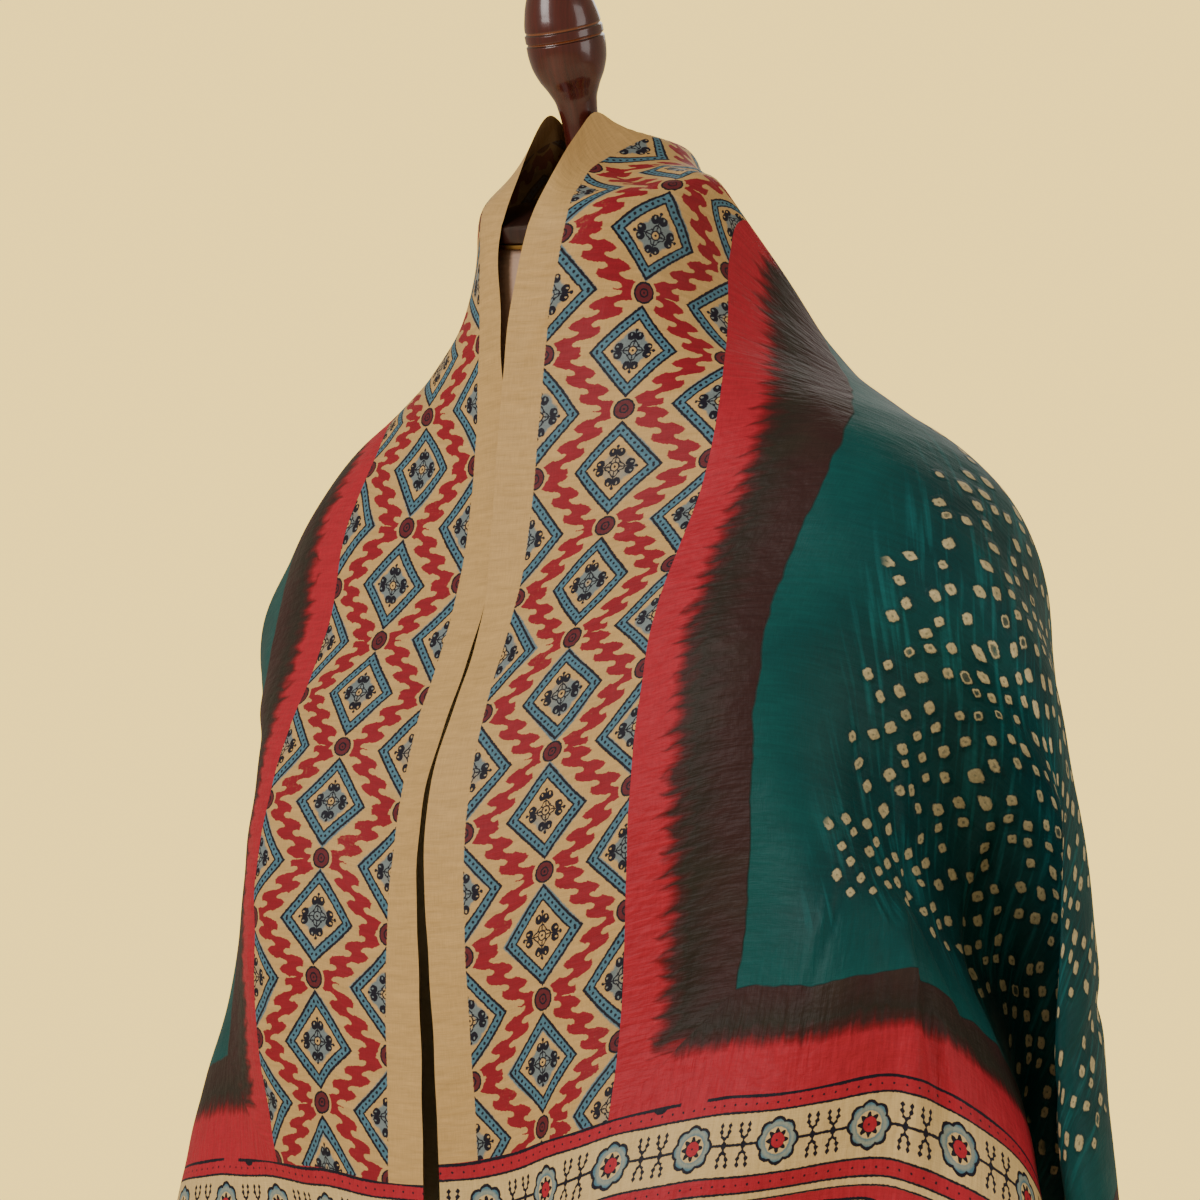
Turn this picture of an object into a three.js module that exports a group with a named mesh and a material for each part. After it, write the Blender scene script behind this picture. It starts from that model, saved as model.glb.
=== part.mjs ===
// A long printed and tie-dyed shawl standing round the neck of a headless dress
// form and hanging over both of its shoulders. Millimetres, +Z up. The pole's axis
// is x = y = 0, the foot stands on z = 0 and the form faces -Y.
import * as THREE from "three";

// driving sizes
const CLOTH_WIDTH = 640;        // across the shawl, from the neck edge to the far edge
const CLOTH_HALF_LENGTH = 1000; // from the middle of the back to either end
const CLOTH_THICK = 1.2;
const SEAT_GAP = 0.3;           // air left between pieces that touch
const NECK_TILT = THREE.MathUtils.degToRad(16);
const NECK_TOP = [0, -47, 1418];
const CAP_RADIUS = 59;
const BAND_DEPTH = 2.7;
const POLE_RADIUS = 13;
const FOOT_RADIUS = 165;
const FORM_BOTTOM = 790;

// dress form: a row is one level, its middle, half width, half depth, the power of
// its rounded outline, and how far the level leans forward
const FORM_COLUMNS = ["z", "middle", "halfWidth", "halfDepth", "power", "lean"];
const FORM_ROWS = [
  [790, 2, 173, 121, 2.6, 0],
  [850, 2, 178, 125, 2.6, 0],
  [900, 2, 174, 122, 2.6, 0],
  [980, -5, 144, 104, 2.6, 0],
  [1030, -9, 136, 107, 2.6, 0],
  [1060, -14, 144, 116, 2.6, 0],
  [1090, -18, 158, 124, 2.6, 0],
  [1120, -16, 174, 130, 2.6, 0],
  [1150, -10, 190, 130, 2.6, 0],
  [1185, -6, 214, 118, 2.6, 0],
  [1220, -4, 226, 107, 2.6, 0],
  [1250, -3, 220, 102, 2.6, 0],
  [1275, 0, 200, 101, 2.6, 0],
  [1300, -8, 168, 90, 2.6, 0],
  [1325, -20, 122, 77, 2.6, 0],
  [1350, -32, 76, 66, 2.4, 4],
  [1375, -40, 60, 60, 2.2, 10],
  [1400, -44, 57, 57, 2, 14],
];

// neck cap and finial: height above the neck along its leaning axis, and radius
const CAP_ROWS = [[0, 58], [0.8, CAP_RADIUS], [8.2, CAP_RADIUS], [9.6, 57.6], [10.8, 50], [13.8, 32], [17.7, 15]];
const FINIAL_ROWS = [
  [18, 13.4], [18.8, 14], [21, 13], [27, 10.6], [38, 9.7], [50, 9.5], [62, 10.5], [69, 13.4], [76, 17.4], [84, 19.8],
  [91, 20.4], [94.2, 20.4], [95, 19.5], [95.8, 20.3], [100, 20.2], [100.8, 19.3], [101.6, 19.9], [110, 18.6],
  [118, 16.2], [125.5, 12.4], [131, 7.6], [134, 2.5],
];
const FOOT_ROWS = [[0, 160], [3, FOOT_RADIUS], [12, FOOT_RADIUS], [17, 158], [22, 120], [27, 70], [31, 34], [38, 24], [52, 22]];
// what the cloth meets while it settles on the neck: height and radius again
const STEM_ROWS = [[-60, 57], [0, 59], [12, 58.5], [15, 45], [18, 26], [22, 14], [50, 9.5], [62, 10.5], [75, 17.5], [88, 20.3],
  [100, 20.5], [118, 17], [130, 9], [134, 0.1]];

// the shawl's neck edge: from the front tip down the form's left, and down its right
const LEFT_EDGE = [[14, -63, 1479], [15, -85, 1456], [5, -106, 1418], [4, -109.5, 1404], [-4, -112, 1373], [-9, -113, 1322], [-9, -120, 1261],
  [-8, -125, 1220], [-8, -136, 1189], [-10, -152, 1159], [-12, -164, 1134], [-13, -168.5, 1104], [-11, -169, 1069],
  [-7, -167, 1019], [-4, -167, 969], [-2, -166, 918], [0, -163, 800], [2, -158, 700]];
const RIGHT_EDGE = [[-12, -74, 1476], [-18, -87, 1444], [-15, -107, 1412], [-18.7, -105.5, 1401], [-16, -106, 1371],
  [-13, -109, 1339], [-12, -104, 1296], [-14, -112, 1240], [-15, -122, 1210], [-17, -137, 1174], [-22, -150, 1144],
  [-22, -163, 1109], [-18, -167.5, 1069], [-16, -167.5, 1039], [-13, -168.5, 994], [-10, -170, 918], [-13, -166, 800],
  [-16, -160, 700]];
const NAPE_EDGE = [[-12, -74, 1476], [-17, -57, 1469], [-21, -36, 1456], [-16, -17, 1446], [0, -8, 1442], [16, -16, 1445],
  [21, -34, 1452], [16, -50, 1466], [14, -63, 1479]];
const LEFT_TIP = 80;   // along the neck edge from the middle of the back to each tip
const RIGHT_TIP = 78;

// places the cloth is laid to: across and along the flat shawl, then x, y, z
const LAID_COLUMNS = ["across", "along", "x", "y", "z"];
const LAID_ROWS = [
  [120, 138, 49, -5, 1428], [71, 170, 53, -72, 1404], [120, 170, 59, -22, 1396], [71, 233.5, 62, -92, 1346],
  [120, 233.5, 88, -58, 1340], [71, 297, 62, -108, 1287], [120, 297, 112, -92, 1286], [185, 297, 162, -50, 1295],
  [71, 360.5, 58, -126, 1226], [120, 360.5, 112, -121, 1235], [185, 360.5, 164, -92, 1245], [71, 424, 57, -143, 1170],
  [120, 424, 109, -137, 1184], [185, 424, 168, -122, 1198], [71, 487.5, 58, -156, 1115], [120, 487.5, 111, -152, 1130],
  [185, 487.5, 173, -130, 1147], [71, 551, 62, -160, 1055], [120, 551, 109, -155, 1066], [185, 551, 173, -132, 1084],
  [71, 614.5, 60, -160, 989], [120, 614.5, 107, -155, 1001], [185, 598, 166, -132, 1033], [290, 598, 244, -100, 1054],
  [290, 650, 239, -102, 1001], [22, 138, 17, -95, 1427], [22, 106, 15, -77, 1448], [350, 598, 243, -50, 1019],
  [416, 598, 243, 0, 977], [380, 450, 242, 32, 1085],
  [71, -271, -69, -98, 1289], [120, -271, -108, -88, 1293], [71, -334.5, -86, -112, 1226], [120, -334.5, -130, -104, 1221],
  [71, -398, -89, -136, 1172], [120, -398, -139, -126, 1167], [71, -461.5, -91, -152, 1118], [120, -461.5, -143, -150, 1115],
  [120, -300, -136, -78, 1262], [150, -300, -171, -62, 1260], [185, -300, -203, -60, 1246], [150, -334, -168, -94, 1220],
  [185, -334, -198, -84, 1213], [185, -398, -197, -104, 1154], [185, -461.5, -181, -113, 1113], [185, -525, -187, -122, 1053],
  [185, -588.5, -191, -125, 990], [290, -588.5, -250, -60, 980], [350, -588.5, -256, -10, 955], [71, -525, -90, -166, 1061],
  [120, -525, -140, -164, 1056], [71, -588.5, -89, -166, 998], [120, -588.5, -142, -162, 991],
];

// loose hull that keeps the hanging ends near the form: level, half width, half depth
const HULL_ROWS = [[150, 360, 290], [500, 325, 245], [900, 285, 195], [1100, 265, 180], [1200, 254, 172], [1240, 252, 170]];
const HULL_PULL = 0.02;
const SIDE_HEADING = [0.755, 0.656];
const SIDE_ROWS = [[500, 285], [800, 246], [905, 230], [967, 223], [1052, 213], [1136, 203], [1199, 195], [1241, 192]];
const SIDE_PULL = 0.1;
const BEND_FINE = 0.06;      // how hard the cloth keeps from folding short, fine and coarse grid
const BEND_COARSE = 0.14;
const BEND_LONG = 60;
const STEM_MARGIN = 6;
const FORM_MARGINS = [[0, 4.5], [120, 4.5], [121, 7], [290, 7], [291, 9]]; // by place across the cloth
const SETTLE_STEPS = 400;

// the flat shawl's grid lines: [from, to, how many]
const ALONG_SPANS = [[0, 168, 12], [168, 420, 11], [420, CLOTH_HALF_LENGTH, 14]];
const ACROSS_SPANS = [[0, 22, 2], [22, 71, 3], [71, 120, 3], [120, 290, 6], [290, CLOTH_WIDTH, 10]];

function gridLines(spans) {
  const lines = [spans[0][0]];
  for (const [from, to, count] of spans) {
    for (let k = 1; k <= count; k += 1) lines.push(from + ((to - from) * k) / count);
  }
  return lines;
}

const HALF = gridLines(ALONG_SPANS);
const ALONG = [...HALF.slice(1).reverse().map((v) => -v), ...HALF];
const ACROSS = gridLines(ACROSS_SPANS);
const NV = ALONG.length;
const NU = ACROSS.length;
const COUNT = NV * NU;

function lerp(a, b, t) {
  return a + (b - a) * t;
}

function tableValue(rows, key, column, at) {
  const last = rows.length - 1;
  if (at <= rows[0][key]) return rows[0][column];
  if (at >= rows[last][key]) return rows[last][column];
  let k = 0;
  while (rows[k + 1][key] < at) k += 1;
  const t = (at - rows[k][key]) / (rows[k + 1][key] - rows[k][key]);
  return lerp(rows[k][column], rows[k + 1][column], t);
}

// lengths along a polyline, then the point at one length
function runningLengths(points) {
  const run = [0];
  for (let k = 1; k < points.length; k += 1) {
    run.push(run[k - 1] + Math.hypot(...points[k].map((c, n) => c - points[k - 1][n])));
  }
  return run;
}

function pointAlong(points, run, at) {
  const rows = points.map((p, k) => [run[k], ...p]);
  return [1, 2, 3].map((column) => tableValue(rows, 0, column, at));
}

const LEFT_RUN = runningLengths(LEFT_EDGE).map((s) => s + LEFT_TIP);
const RIGHT_RUN = runningLengths(RIGHT_EDGE).map((s) => s + RIGHT_TIP);
const NAPE_RUN = runningLengths(NAPE_EDGE);

function napePoint(along) {
  const t = (along + RIGHT_TIP) / (LEFT_TIP + RIGHT_TIP);
  return pointAlong(NAPE_EDGE, NAPE_RUN, t * NAPE_RUN[NAPE_RUN.length - 1]);
}

// where the neck edge is held: null where that edge hangs free
function heldPoint(along) {
  if (along >= -RIGHT_TIP && along <= LEFT_TIP) return napePoint(along);
  const run = along > 0 ? LEFT_RUN : RIGHT_RUN;
  if (Math.abs(along) > run[run.length - 1] + 5) return null;
  return pointAlong(along > 0 ? LEFT_EDGE : RIGHT_EDGE, run, Math.abs(along));
}

// the shawl as first laid: a front panel, a back panel and a fluted corner between
const CORNER_ACROSS = 290;
const CORNER_ALONG = 340;
const SHOULDER = [226, 12, 1244];
const RIDGE = [[0, LEFT_TIP, 14, -63, 1479], [120, 138, 49, -5, 1430], [CORNER_ACROSS, CORNER_ALONG, ...SHOULDER]];

function alongLine(from, to, distance) {
  const gap = to.map((c, n) => c - from[n]);
  const length = Math.hypot(...gap);
  if (distance >= length) return [to[0], to[1], to[2] - (distance - length)];
  return from.map((c, n) => c + (gap[n] * distance) / length);
}

function laidPoint(across, alongSigned) {
  const side = alongSigned >= 0 ? 1 : -1;
  const along = Math.abs(alongSigned);
  const ridgeAt = (key, at) => [2, 3, 4].map((column) => tableValue(RIDGE, key, column, at));
  const ridgeAlong = tableValue(RIDGE, 0, 1, across);
  const ridgeAcross = tableValue(RIDGE, 1, 0, along);
  let point;
  if (across <= CORNER_ACROSS && along >= ridgeAlong) {
    const t = across / CORNER_ACROSS;
    const edge = [lerp(side > 0 ? 3 : 13, 228, t), -168 + 118 * t ** 2.2, 1130];
    point = alongLine(ridgeAt(0, across), edge, along - ridgeAlong);
  } else if (along <= CORNER_ALONG && (along <= LEFT_TIP || ridgeAcross <= across)) {
    const start = along <= LEFT_TIP ? napePoint(along) : ridgeAt(1, along);
    const done = along <= LEFT_TIP ? 0 : ridgeAcross;
    const t = along / CORNER_ALONG;
    const edge = [lerp(0, 228, t), 150 - 90 * t ** 2.2, 1160];
    if (along < 138) {
      const bend = [start[0] * 1.6, 40, 1425 - 60 * t];
      const toBend = Math.hypot(...bend.map((c, n) => c - start[n]));
      const far = across - done - toBend;
      point = far < 0 ? alongLine(start, bend, across - done) : alongLine(bend, edge, far);
    } else {
      point = alongLine(start, edge, across - done);
    }
  } else {
    const du = across - CORNER_ACROSS;
    const dv = along - CORNER_ALONG;
    const far = Math.hypot(du, dv);
    const turn = Math.atan2(du, dv) / (Math.PI / 2);
    const heading = THREE.MathUtils.degToRad(-78 + 150 * turn);
    const flare = THREE.MathUtils.degToRad(15 + 7 * Math.cos(2 * Math.PI * 3.5 * turn + 0.6 * side));
    point = [
      SHOULDER[0] + far * Math.sin(flare) * Math.cos(heading),
      SHOULDER[1] + far * Math.sin(flare) * Math.sin(heading),
      SHOULDER[2] - far * Math.cos(flare),
    ];
  }
  return [point[0] * side, point[1], point[2]];
}

// threads that hold the grid's spacing, corner to corner and against sharp bends
function makeThreads() {
  const threads = [];
  const at = (i, j) => i * NU + j;
  const tie = (a, b, stiffness, onlyLong) => {
    const ia = Math.floor(a / NU);
    const ib = Math.floor(b / NU);
    const dv = ALONG[ia] - ALONG[ib];
    const du = ACROSS[a % NU] - ACROSS[b % NU];
    const midU = (ACROSS[a % NU] + ACROSS[b % NU]) / 2;
    const midV = (ALONG[ia] + ALONG[ib]) / 2;
    const push = midU < 125 && Math.abs(midV) < 150 ? 0.05 : 0.35;
    const rest = Math.hypot(du, dv);
    const bend = rest > BEND_LONG ? BEND_COARSE : BEND_FINE;
    threads.push({ a, b, rest, stiffness: onlyLong ? bend : stiffness, push, onlyLong });
  };
  for (const start of [0, 1]) {
    for (let i = start; i < NV - 1; i += 2) for (let j = 0; j < NU; j += 1) tie(at(i, j), at(i + 1, j), 1, false);
    for (let i = 0; i < NV; i += 1) for (let j = start; j < NU - 1; j += 2) tie(at(i, j), at(i, j + 1), 1, false);
  }
  for (const start of [0, 1]) {
    for (let i = start; i < NV - 1; i += 2) for (let j = 0; j < NU - 1; j += 1) tie(at(i, j), at(i + 1, j + 1), 0.2, false);
    for (let i = start; i < NV - 1; i += 2) for (let j = 1; j < NU; j += 1) tie(at(i, j), at(i + 1, j - 1), 0.2, false);
  }
  for (const start of [0, 1, 2, 3]) {
    for (let i = start; i < NV - 2; i += 4) for (let j = 0; j < NU; j += 1) tie(at(i, j), at(i + 2, j), 0, true);
    for (let j = start; j < NU - 2; j += 4) for (let i = 0; i < NV; i += 1) tie(at(i, j), at(i, j + 2), 0, true);
  }
  return threads;
}

function formLevel(x, y, z) {
  const middle = tableValue(FORM_ROWS, 0, 1, z);
  const width = tableValue(FORM_ROWS, 0, 2, z);
  const depth = tableValue(FORM_ROWS, 0, 3, z);
  return (Math.abs(x / width) ** 2.6 + Math.abs((y - middle) / depth) ** 2.6) ** (1 / 2.6);
}

// keep one point clear of the form, and of the cap and stem on the neck
function clearForm(p, n, margin) {
  const x = p[n];
  const y = p[n + 1];
  const z = p[n + 2];
  if (z <= FORM_BOTTOM - 30 || z >= 1412) return false;
  const level = formLevel(x, y, z);
  const gx = formLevel(x + 1, y, z) - level;
  const gy = formLevel(x, y + 1, z) - level;
  const gz = formLevel(x, y, z + 1) - level;
  const slope = Math.hypot(gx, gy, gz) + 1e-9;
  const distance = (level - 1) / slope;
  if (distance >= margin) return false;
  const step = Math.min(margin - distance, 25) / slope;
  p[n] += gx * step;
  p[n + 1] += gy * step;
  p[n + 2] += gz * step;
  return true;
}

const AXIS = [0, -Math.sin(NECK_TILT), Math.cos(NECK_TILT)];

function clearStem(p, n, margin) {
  const rel = [p[n] - NECK_TOP[0], p[n + 1] - NECK_TOP[1], p[n + 2] - NECK_TOP[2]];
  const height = rel[1] * AXIS[1] + rel[2] * AXIS[2];
  if (height <= -60 || height >= 134) return false;
  const out = rel.map((c, k) => c - height * AXIS[k]);
  const radius = Math.hypot(...out) + 1e-9;
  const wall = tableValue(STEM_ROWS, 0, 1, height);
  const slope = tableValue(STEM_ROWS, 0, 1, height + 1) - wall;
  const square = 1 / Math.sqrt(1 + slope * slope);
  const distance = (radius - wall) * square;
  if (distance >= margin) return false;
  const step = Math.min(margin - distance, 15);
  for (let k = 0; k < 3; k += 1) p[n + k] += ((out[k] / radius) * square - AXIS[k] * slope * square) * step;
  return true;
}

function pullIn(p, n, strength) {
  const z = p[n + 2];
  if (z >= 1250) return;
  const out = p[n] * SIDE_HEADING[0] + p[n + 1] * SIDE_HEADING[1] - tableValue(SIDE_ROWS, 0, 1, z);
  if (out > 0) {
    p[n] -= SIDE_HEADING[0] * out * SIDE_PULL;
    p[n + 1] -= SIDE_HEADING[1] * out * SIDE_PULL;
  }
  if (z >= 1230) return;
  const width = tableValue(HULL_ROWS, 0, 1, z);
  const depth = tableValue(HULL_ROWS, 0, 2, z);
  const level = (Math.abs(p[n] / width) ** 2.4 + Math.abs(p[n + 1] / depth) ** 2.4) ** (1 / 2.4);
  if (level <= 1) return;
  const scale = 1 + (1 / level - 1) * strength;
  p[n] *= scale;
  p[n + 1] *= scale;
}

// the laid places as weights on the four grid points round each
function makeHolds() {
  const find = (lines, at) => {
    let k = 0;
    while (k < lines.length - 2 && lines[k + 1] < at) k += 1;
    return [k, (at - lines[k]) / (lines[k + 1] - lines[k])];
  };
  return LAID_ROWS.map((row) => {
    const laid = Object.fromEntries(LAID_COLUMNS.map((name, k) => [name, row[k]]));
    const [j, tj] = find(ACROSS, laid.across);
    const [i, ti] = find(ALONG, laid.along);
    return {
      points: [i * NU + j, (i + 1) * NU + j, i * NU + j + 1, (i + 1) * NU + j + 1],
      weights: [(1 - ti) * (1 - tj), ti * (1 - tj), (1 - ti) * tj, ti * tj],
      place: [laid.x, laid.y, laid.z],
    };
  });
}

// even out each grid point between its neighbours without moving the whole
function relax(p, free, amount) {
  const shift = new Float64Array(COUNT * 3);
  const passes = [[NU, ALONG, (n) => Math.floor(n / NU)], [1, ACROSS, (n) => n % NU]];
  for (const [stride, lines, indexOf] of passes) {
    for (let n = 0; n < COUNT; n += 1) {
      const k = indexOf(n);
      if (k === 0 || k === lines.length - 1) continue;
      const before = lines[k] - lines[k - 1];
      const after = lines[k + 1] - lines[k];
      for (let c = 0; c < 3; c += 1) {
        const even = (p[(n - stride) * 3 + c] * after + p[(n + stride) * 3 + c] * before) / (before + after);
        shift[n * 3 + c] = (even - p[n * 3 + c]) * (amount / 2);
      }
    }
    for (let n = 0; n < COUNT; n += 1) {
      const k = indexOf(n);
      if (k === 0 || k === lines.length - 1) continue;
      const before = lines[k] - lines[k - 1];
      const after = lines[k + 1] - lines[k];
      for (let c = 0; c < 3; c += 1) {
        const s = shift[n * 3 + c];
        p[n * 3 + c] += s * free[n];
        p[(n - stride) * 3 + c] -= s * (after / (before + after)) * free[n - stride];
        p[(n + stride) * 3 + c] -= s * (before / (before + after)) * free[n + stride];
      }
    }
  }
}

// faces of the grid, for keeping one layer off another
const FACES = [];
for (const half of [0, 1]) {
  for (let i = 0; i < NV - 1; i += 1) {
    for (let j = 0; j < NU - 1; j += 1) {
      const [a, b, c, d] = [i * NU + j, (i + 1) * NU + j, (i + 1) * NU + j + 1, i * NU + j + 1];
      FACES.push(half === 0 ? [a, b, c] : [a, c, d]);
    }
  }
}
const LAYER_GAP = 7;

function flatCentre(face) {
  const u = face.reduce((sum, n) => sum + ACROSS[n % NU], 0) / 3;
  const v = face.reduce((sum, n) => sum + ALONG[Math.floor(n / NU)], 0) / 3;
  const reach = Math.max(...face.map((n) => Math.hypot(ACROSS[n % NU] - u, ALONG[Math.floor(n / NU)] - v)));
  return { u, v, reach };
}
const FACE_FLAT = FACES.map(flatCentre);

function nearPairs(p) {
  const pairs = [];
  for (let f = 0; f < FACES.length; f += 1) {
    const [a, b, c] = FACES[f];
    const x = (p[a * 3] + p[b * 3] + p[c * 3]) / 3;
    const y = (p[a * 3 + 1] + p[b * 3 + 1] + p[c * 3 + 1]) / 3;
    const z = (p[a * 3 + 2] + p[b * 3 + 2] + p[c * 3 + 2]) / 3;
    const { u, v, reach } = FACE_FLAT[f];
    const near = (reach * 1.15 + LAYER_GAP + 10) ** 2;
    const own = (reach + 34) ** 2;
    for (let n = 0; n < COUNT; n += 1) {
      const dx = p[n * 3] - x;
      const dy = p[n * 3 + 1] - y;
      const dz = p[n * 3 + 2] - z;
      if (dx * dx + dy * dy + dz * dz >= near) continue;
      const du = ACROSS[n % NU] - u;
      const dv = ALONG[Math.floor(n / NU)] - v;
      if (du * du + dv * dv > own) pairs.push([n, f]);
    }
  }
  return pairs;
}

function faceFrame(p, n, f) {
  const [a, b, c] = FACES[f];
  const get = (k, m) => [p[k * 3] - p[m * 3], p[k * 3 + 1] - p[m * 3 + 1], p[k * 3 + 2] - p[m * 3 + 2]];
  const e1 = get(b, a);
  const e2 = get(c, a);
  const r = get(n, a);
  const up = cross(e1, e2);
  const size = Math.hypot(...up) + 1e-9;
  const unit = up.map((k) => k / size);
  return { e1, e2, r, unit, size, height: dot(unit, r) };
}

function cross(a, b) {
  return [a[1] * b[2] - a[2] * b[1], a[2] * b[0] - a[0] * b[2], a[0] * b[1] - a[1] * b[0]];
}

function dot(a, b) {
  return a[0] * b[0] + a[1] * b[1] + a[2] * b[2];
}

function keepApart(p, free, pairs, sides) {
  const moves = [];
  pairs.forEach(([n, f], k) => {
    const { e1, e2, r, unit, size, height } = faceFrame(p, n, f);
    const above = height * sides[k];
    if (above >= LAYER_GAP || above <= -3 * LAYER_GAP) return;
    const w1 = dot(cross(r, e2), unit) / size;
    const w2 = dot(cross(e1, r), unit) / size;
    const w0 = 1 - w1 - w2;
    if (w0 <= -0.08 || w1 <= -0.08 || w2 <= -0.08) return;
    const w = [w0, w1, w2].map((v) => Math.min(Math.max(v, 0), 1));
    const give = free[n] + w.reduce((sum, v, m) => sum + v * v * free[FACES[f][m]], 0) + 1e-9;
    const push = ((LAYER_GAP - above) / give) * 0.5 * sides[k];
    moves.push([n, push * free[n], unit]);
    FACES[f].forEach((m, q) => moves.push([m, -push * w[q] * free[m], unit]));
  });
  for (const [n, amount, unit] of moves) {
    for (let c = 0; c < 3; c += 1) p[n * 3 + c] += unit[c] * amount;
  }
}

// let the laid cloth settle: position steps with the threads, the form and its own layers
function settle() {
  const p = new Float64Array(COUNT * 3);
  const speed = new Float64Array(COUNT * 3);
  const free = new Float64Array(COUNT).fill(1);
  for (let i = 0; i < NV; i += 1) {
    for (let j = 0; j < NU; j += 1) p.set(laidPoint(ACROSS[j], ALONG[i]), (i * NU + j) * 3);
    const held = heldPoint(ALONG[i]);
    if (held) {
      p.set(held, i * NU * 3);
      free[i * NU] = 0;
    }
  }
  const threads = makeThreads();
  const holds = makeHolds();
  const margins = ACROSS.map((u) => tableValue(FORM_MARGINS, 0, 1, u));
  let pairs = [];
  for (let step = 0; step < SETTLE_STEPS; step += 1) {
    const q = new Float64Array(p);
    for (let n = 0; n < COUNT; n += 1) {
      for (let c = 0; c < 3; c += 1) speed[n * 3 + c] *= 0.88;
      speed[n * 3 + 2] -= 0.5 * free[n];
      const fast = Math.hypot(speed[n * 3], speed[n * 3 + 1], speed[n * 3 + 2]) + 1e-9;
      const limit = Math.min(1, 6 / fast);
      for (let c = 0; c < 3; c += 1) {
        speed[n * 3 + c] *= limit;
        q[n * 3 + c] += speed[n * 3 + c] * free[n];
      }
    }
    if (step % 8 === 0) pairs = nearPairs(p);
    const sides = pairs.map(([n, f]) => Math.sign(faceFrame(p, n, f).height));
    const hit = new Uint8Array(COUNT);
    for (let pass = 0; pass < 5; pass += 1) {
      for (const { a, b, rest, stiffness, push, onlyLong } of threads) {
        const dx = q[b * 3] - q[a * 3];
        const dy = q[b * 3 + 1] - q[a * 3 + 1];
        const dz = q[b * 3 + 2] - q[a * 3 + 2];
        const length = Math.sqrt(dx * dx + dy * dy + dz * dz) + 1e-9;
        const give = free[a] + free[b] + 1e-9;
        let amount = ((length - rest) / length) * stiffness * (length > rest ? 1 : push);
        if (onlyLong) amount = length < rest * 0.995 ? ((length - rest * 0.995) / length) * stiffness : 0;
        amount /= give;
        q[a * 3] += dx * amount * free[a];
        q[a * 3 + 1] += dy * amount * free[a];
        q[a * 3 + 2] += dz * amount * free[a];
        q[b * 3] -= dx * amount * free[b];
        q[b * 3 + 1] -= dy * amount * free[b];
        q[b * 3 + 2] -= dz * amount * free[b];
      }
      const pulls = holds.map(({ points, weights, place }) => {
        const power = weights.reduce((sum, w) => sum + w * w, 0);
        return place.map((c, k) => (c - points.reduce((s, n, m) => s + q[n * 3 + k] * weights[m], 0)) / power);
      });
      holds.forEach(({ points, weights }, h) => {
        points.forEach((n, m) => {
          for (let c = 0; c < 3; c += 1) q[n * 3 + c] += pulls[h][c] * 0.4 * weights[m] * free[n];
        });
      });
      relax(q, free, 0.2);
      for (let n = 0; n < COUNT; n += 1) {
        pullIn(q, n * 3, HULL_PULL);
        const onForm = clearForm(q, n * 3, margins[n % NU]);
        const onStem = clearStem(q, n * 3, STEM_MARGIN);
        hit[n] = onForm || onStem ? 1 : 0;
      }
      if (pass % 2 === 0) keepApart(q, free, pairs, sides);
      for (let n = 0; n < COUNT; n += 1) {
        if (free[n] === 0) for (let c = 0; c < 3; c += 1) q[n * 3 + c] = p[n * 3 + c];
      }
    }
    for (let n = 0; n < COUNT; n += 1) {
      for (let c = 0; c < 3; c += 1) {
        speed[n * 3 + c] = (q[n * 3 + c] - p[n * 3 + c]) * (hit[n] ? 0.4 : 1);
        p[n * 3 + c] = q[n * 3 + c];
      }
    }
  }
  return p;
}

function meshOf(name, positions, index, colour, roughness, metalness) {
  const geometry = new THREE.BufferGeometry();
  geometry.setAttribute("position", new THREE.Float32BufferAttribute(positions, 3));
  if (index) geometry.setIndex(index);
  geometry.computeVertexNormals();
  return named(name, geometry, colour, roughness, metalness);
}

function named(name, geometry, colour, roughness, metalness) {
  const mesh = new THREE.Mesh(geometry, new THREE.MeshStandardMaterial({ color: colour, roughness, metalness }));
  mesh.name = name;
  return mesh;
}

// the settled sheet given its thickness, with its edges closed
function shawl() {
  const p = settle();
  const positions = new Array(COUNT * 6);
  const at = (i, j) => i * NU + j;
  for (let i = 0; i < NV; i += 1) {
    for (let j = 0; j < NU; j += 1) {
      const gap = (a, b) => [0, 1, 2].map((c) => p[b * 3 + c] - p[a * 3 + c]);
      const along = gap(at(Math.max(i - 1, 0), j), at(Math.min(i + 1, NV - 1), j));
      const across = gap(at(i, Math.max(j - 1, 0)), at(i, Math.min(j + 1, NU - 1)));
      const out = cross(along, across);
      const size = Math.hypot(...out) + 1e-9;
      const n = at(i, j);
      for (let c = 0; c < 3; c += 1) {
        positions[n * 3 + c] = p[n * 3 + c] + (out[c] / size) * (CLOTH_THICK / 2);
        positions[(COUNT + n) * 3 + c] = p[n * 3 + c] - (out[c] / size) * (CLOTH_THICK / 2);
      }
    }
  }
  const index = [];
  const quad = (a, b, c, d) => index.push(a, b, c, a, c, d);
  for (let i = 0; i < NV - 1; i += 1) {
    for (let j = 0; j < NU - 1; j += 1) {
      quad(at(i, j), at(i + 1, j), at(i + 1, j + 1), at(i, j + 1));
      quad(COUNT + at(i, j), COUNT + at(i, j + 1), COUNT + at(i + 1, j + 1), COUNT + at(i + 1, j));
    }
    quad(at(i, 0), COUNT + at(i, 0), COUNT + at(i + 1, 0), at(i + 1, 0));
    quad(at(i, NU - 1), at(i + 1, NU - 1), COUNT + at(i + 1, NU - 1), COUNT + at(i, NU - 1));
  }
  for (let j = 0; j < NU - 1; j += 1) {
    quad(at(0, j), at(0, j + 1), COUNT + at(0, j + 1), COUNT + at(0, j));
    quad(at(NV - 1, j), COUNT + at(NV - 1, j), COUNT + at(NV - 1, j + 1), at(NV - 1, j + 1));
  }
  return meshOf("shawl", positions, index, 0x0a5a55, 0.75, 0);
}

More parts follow.
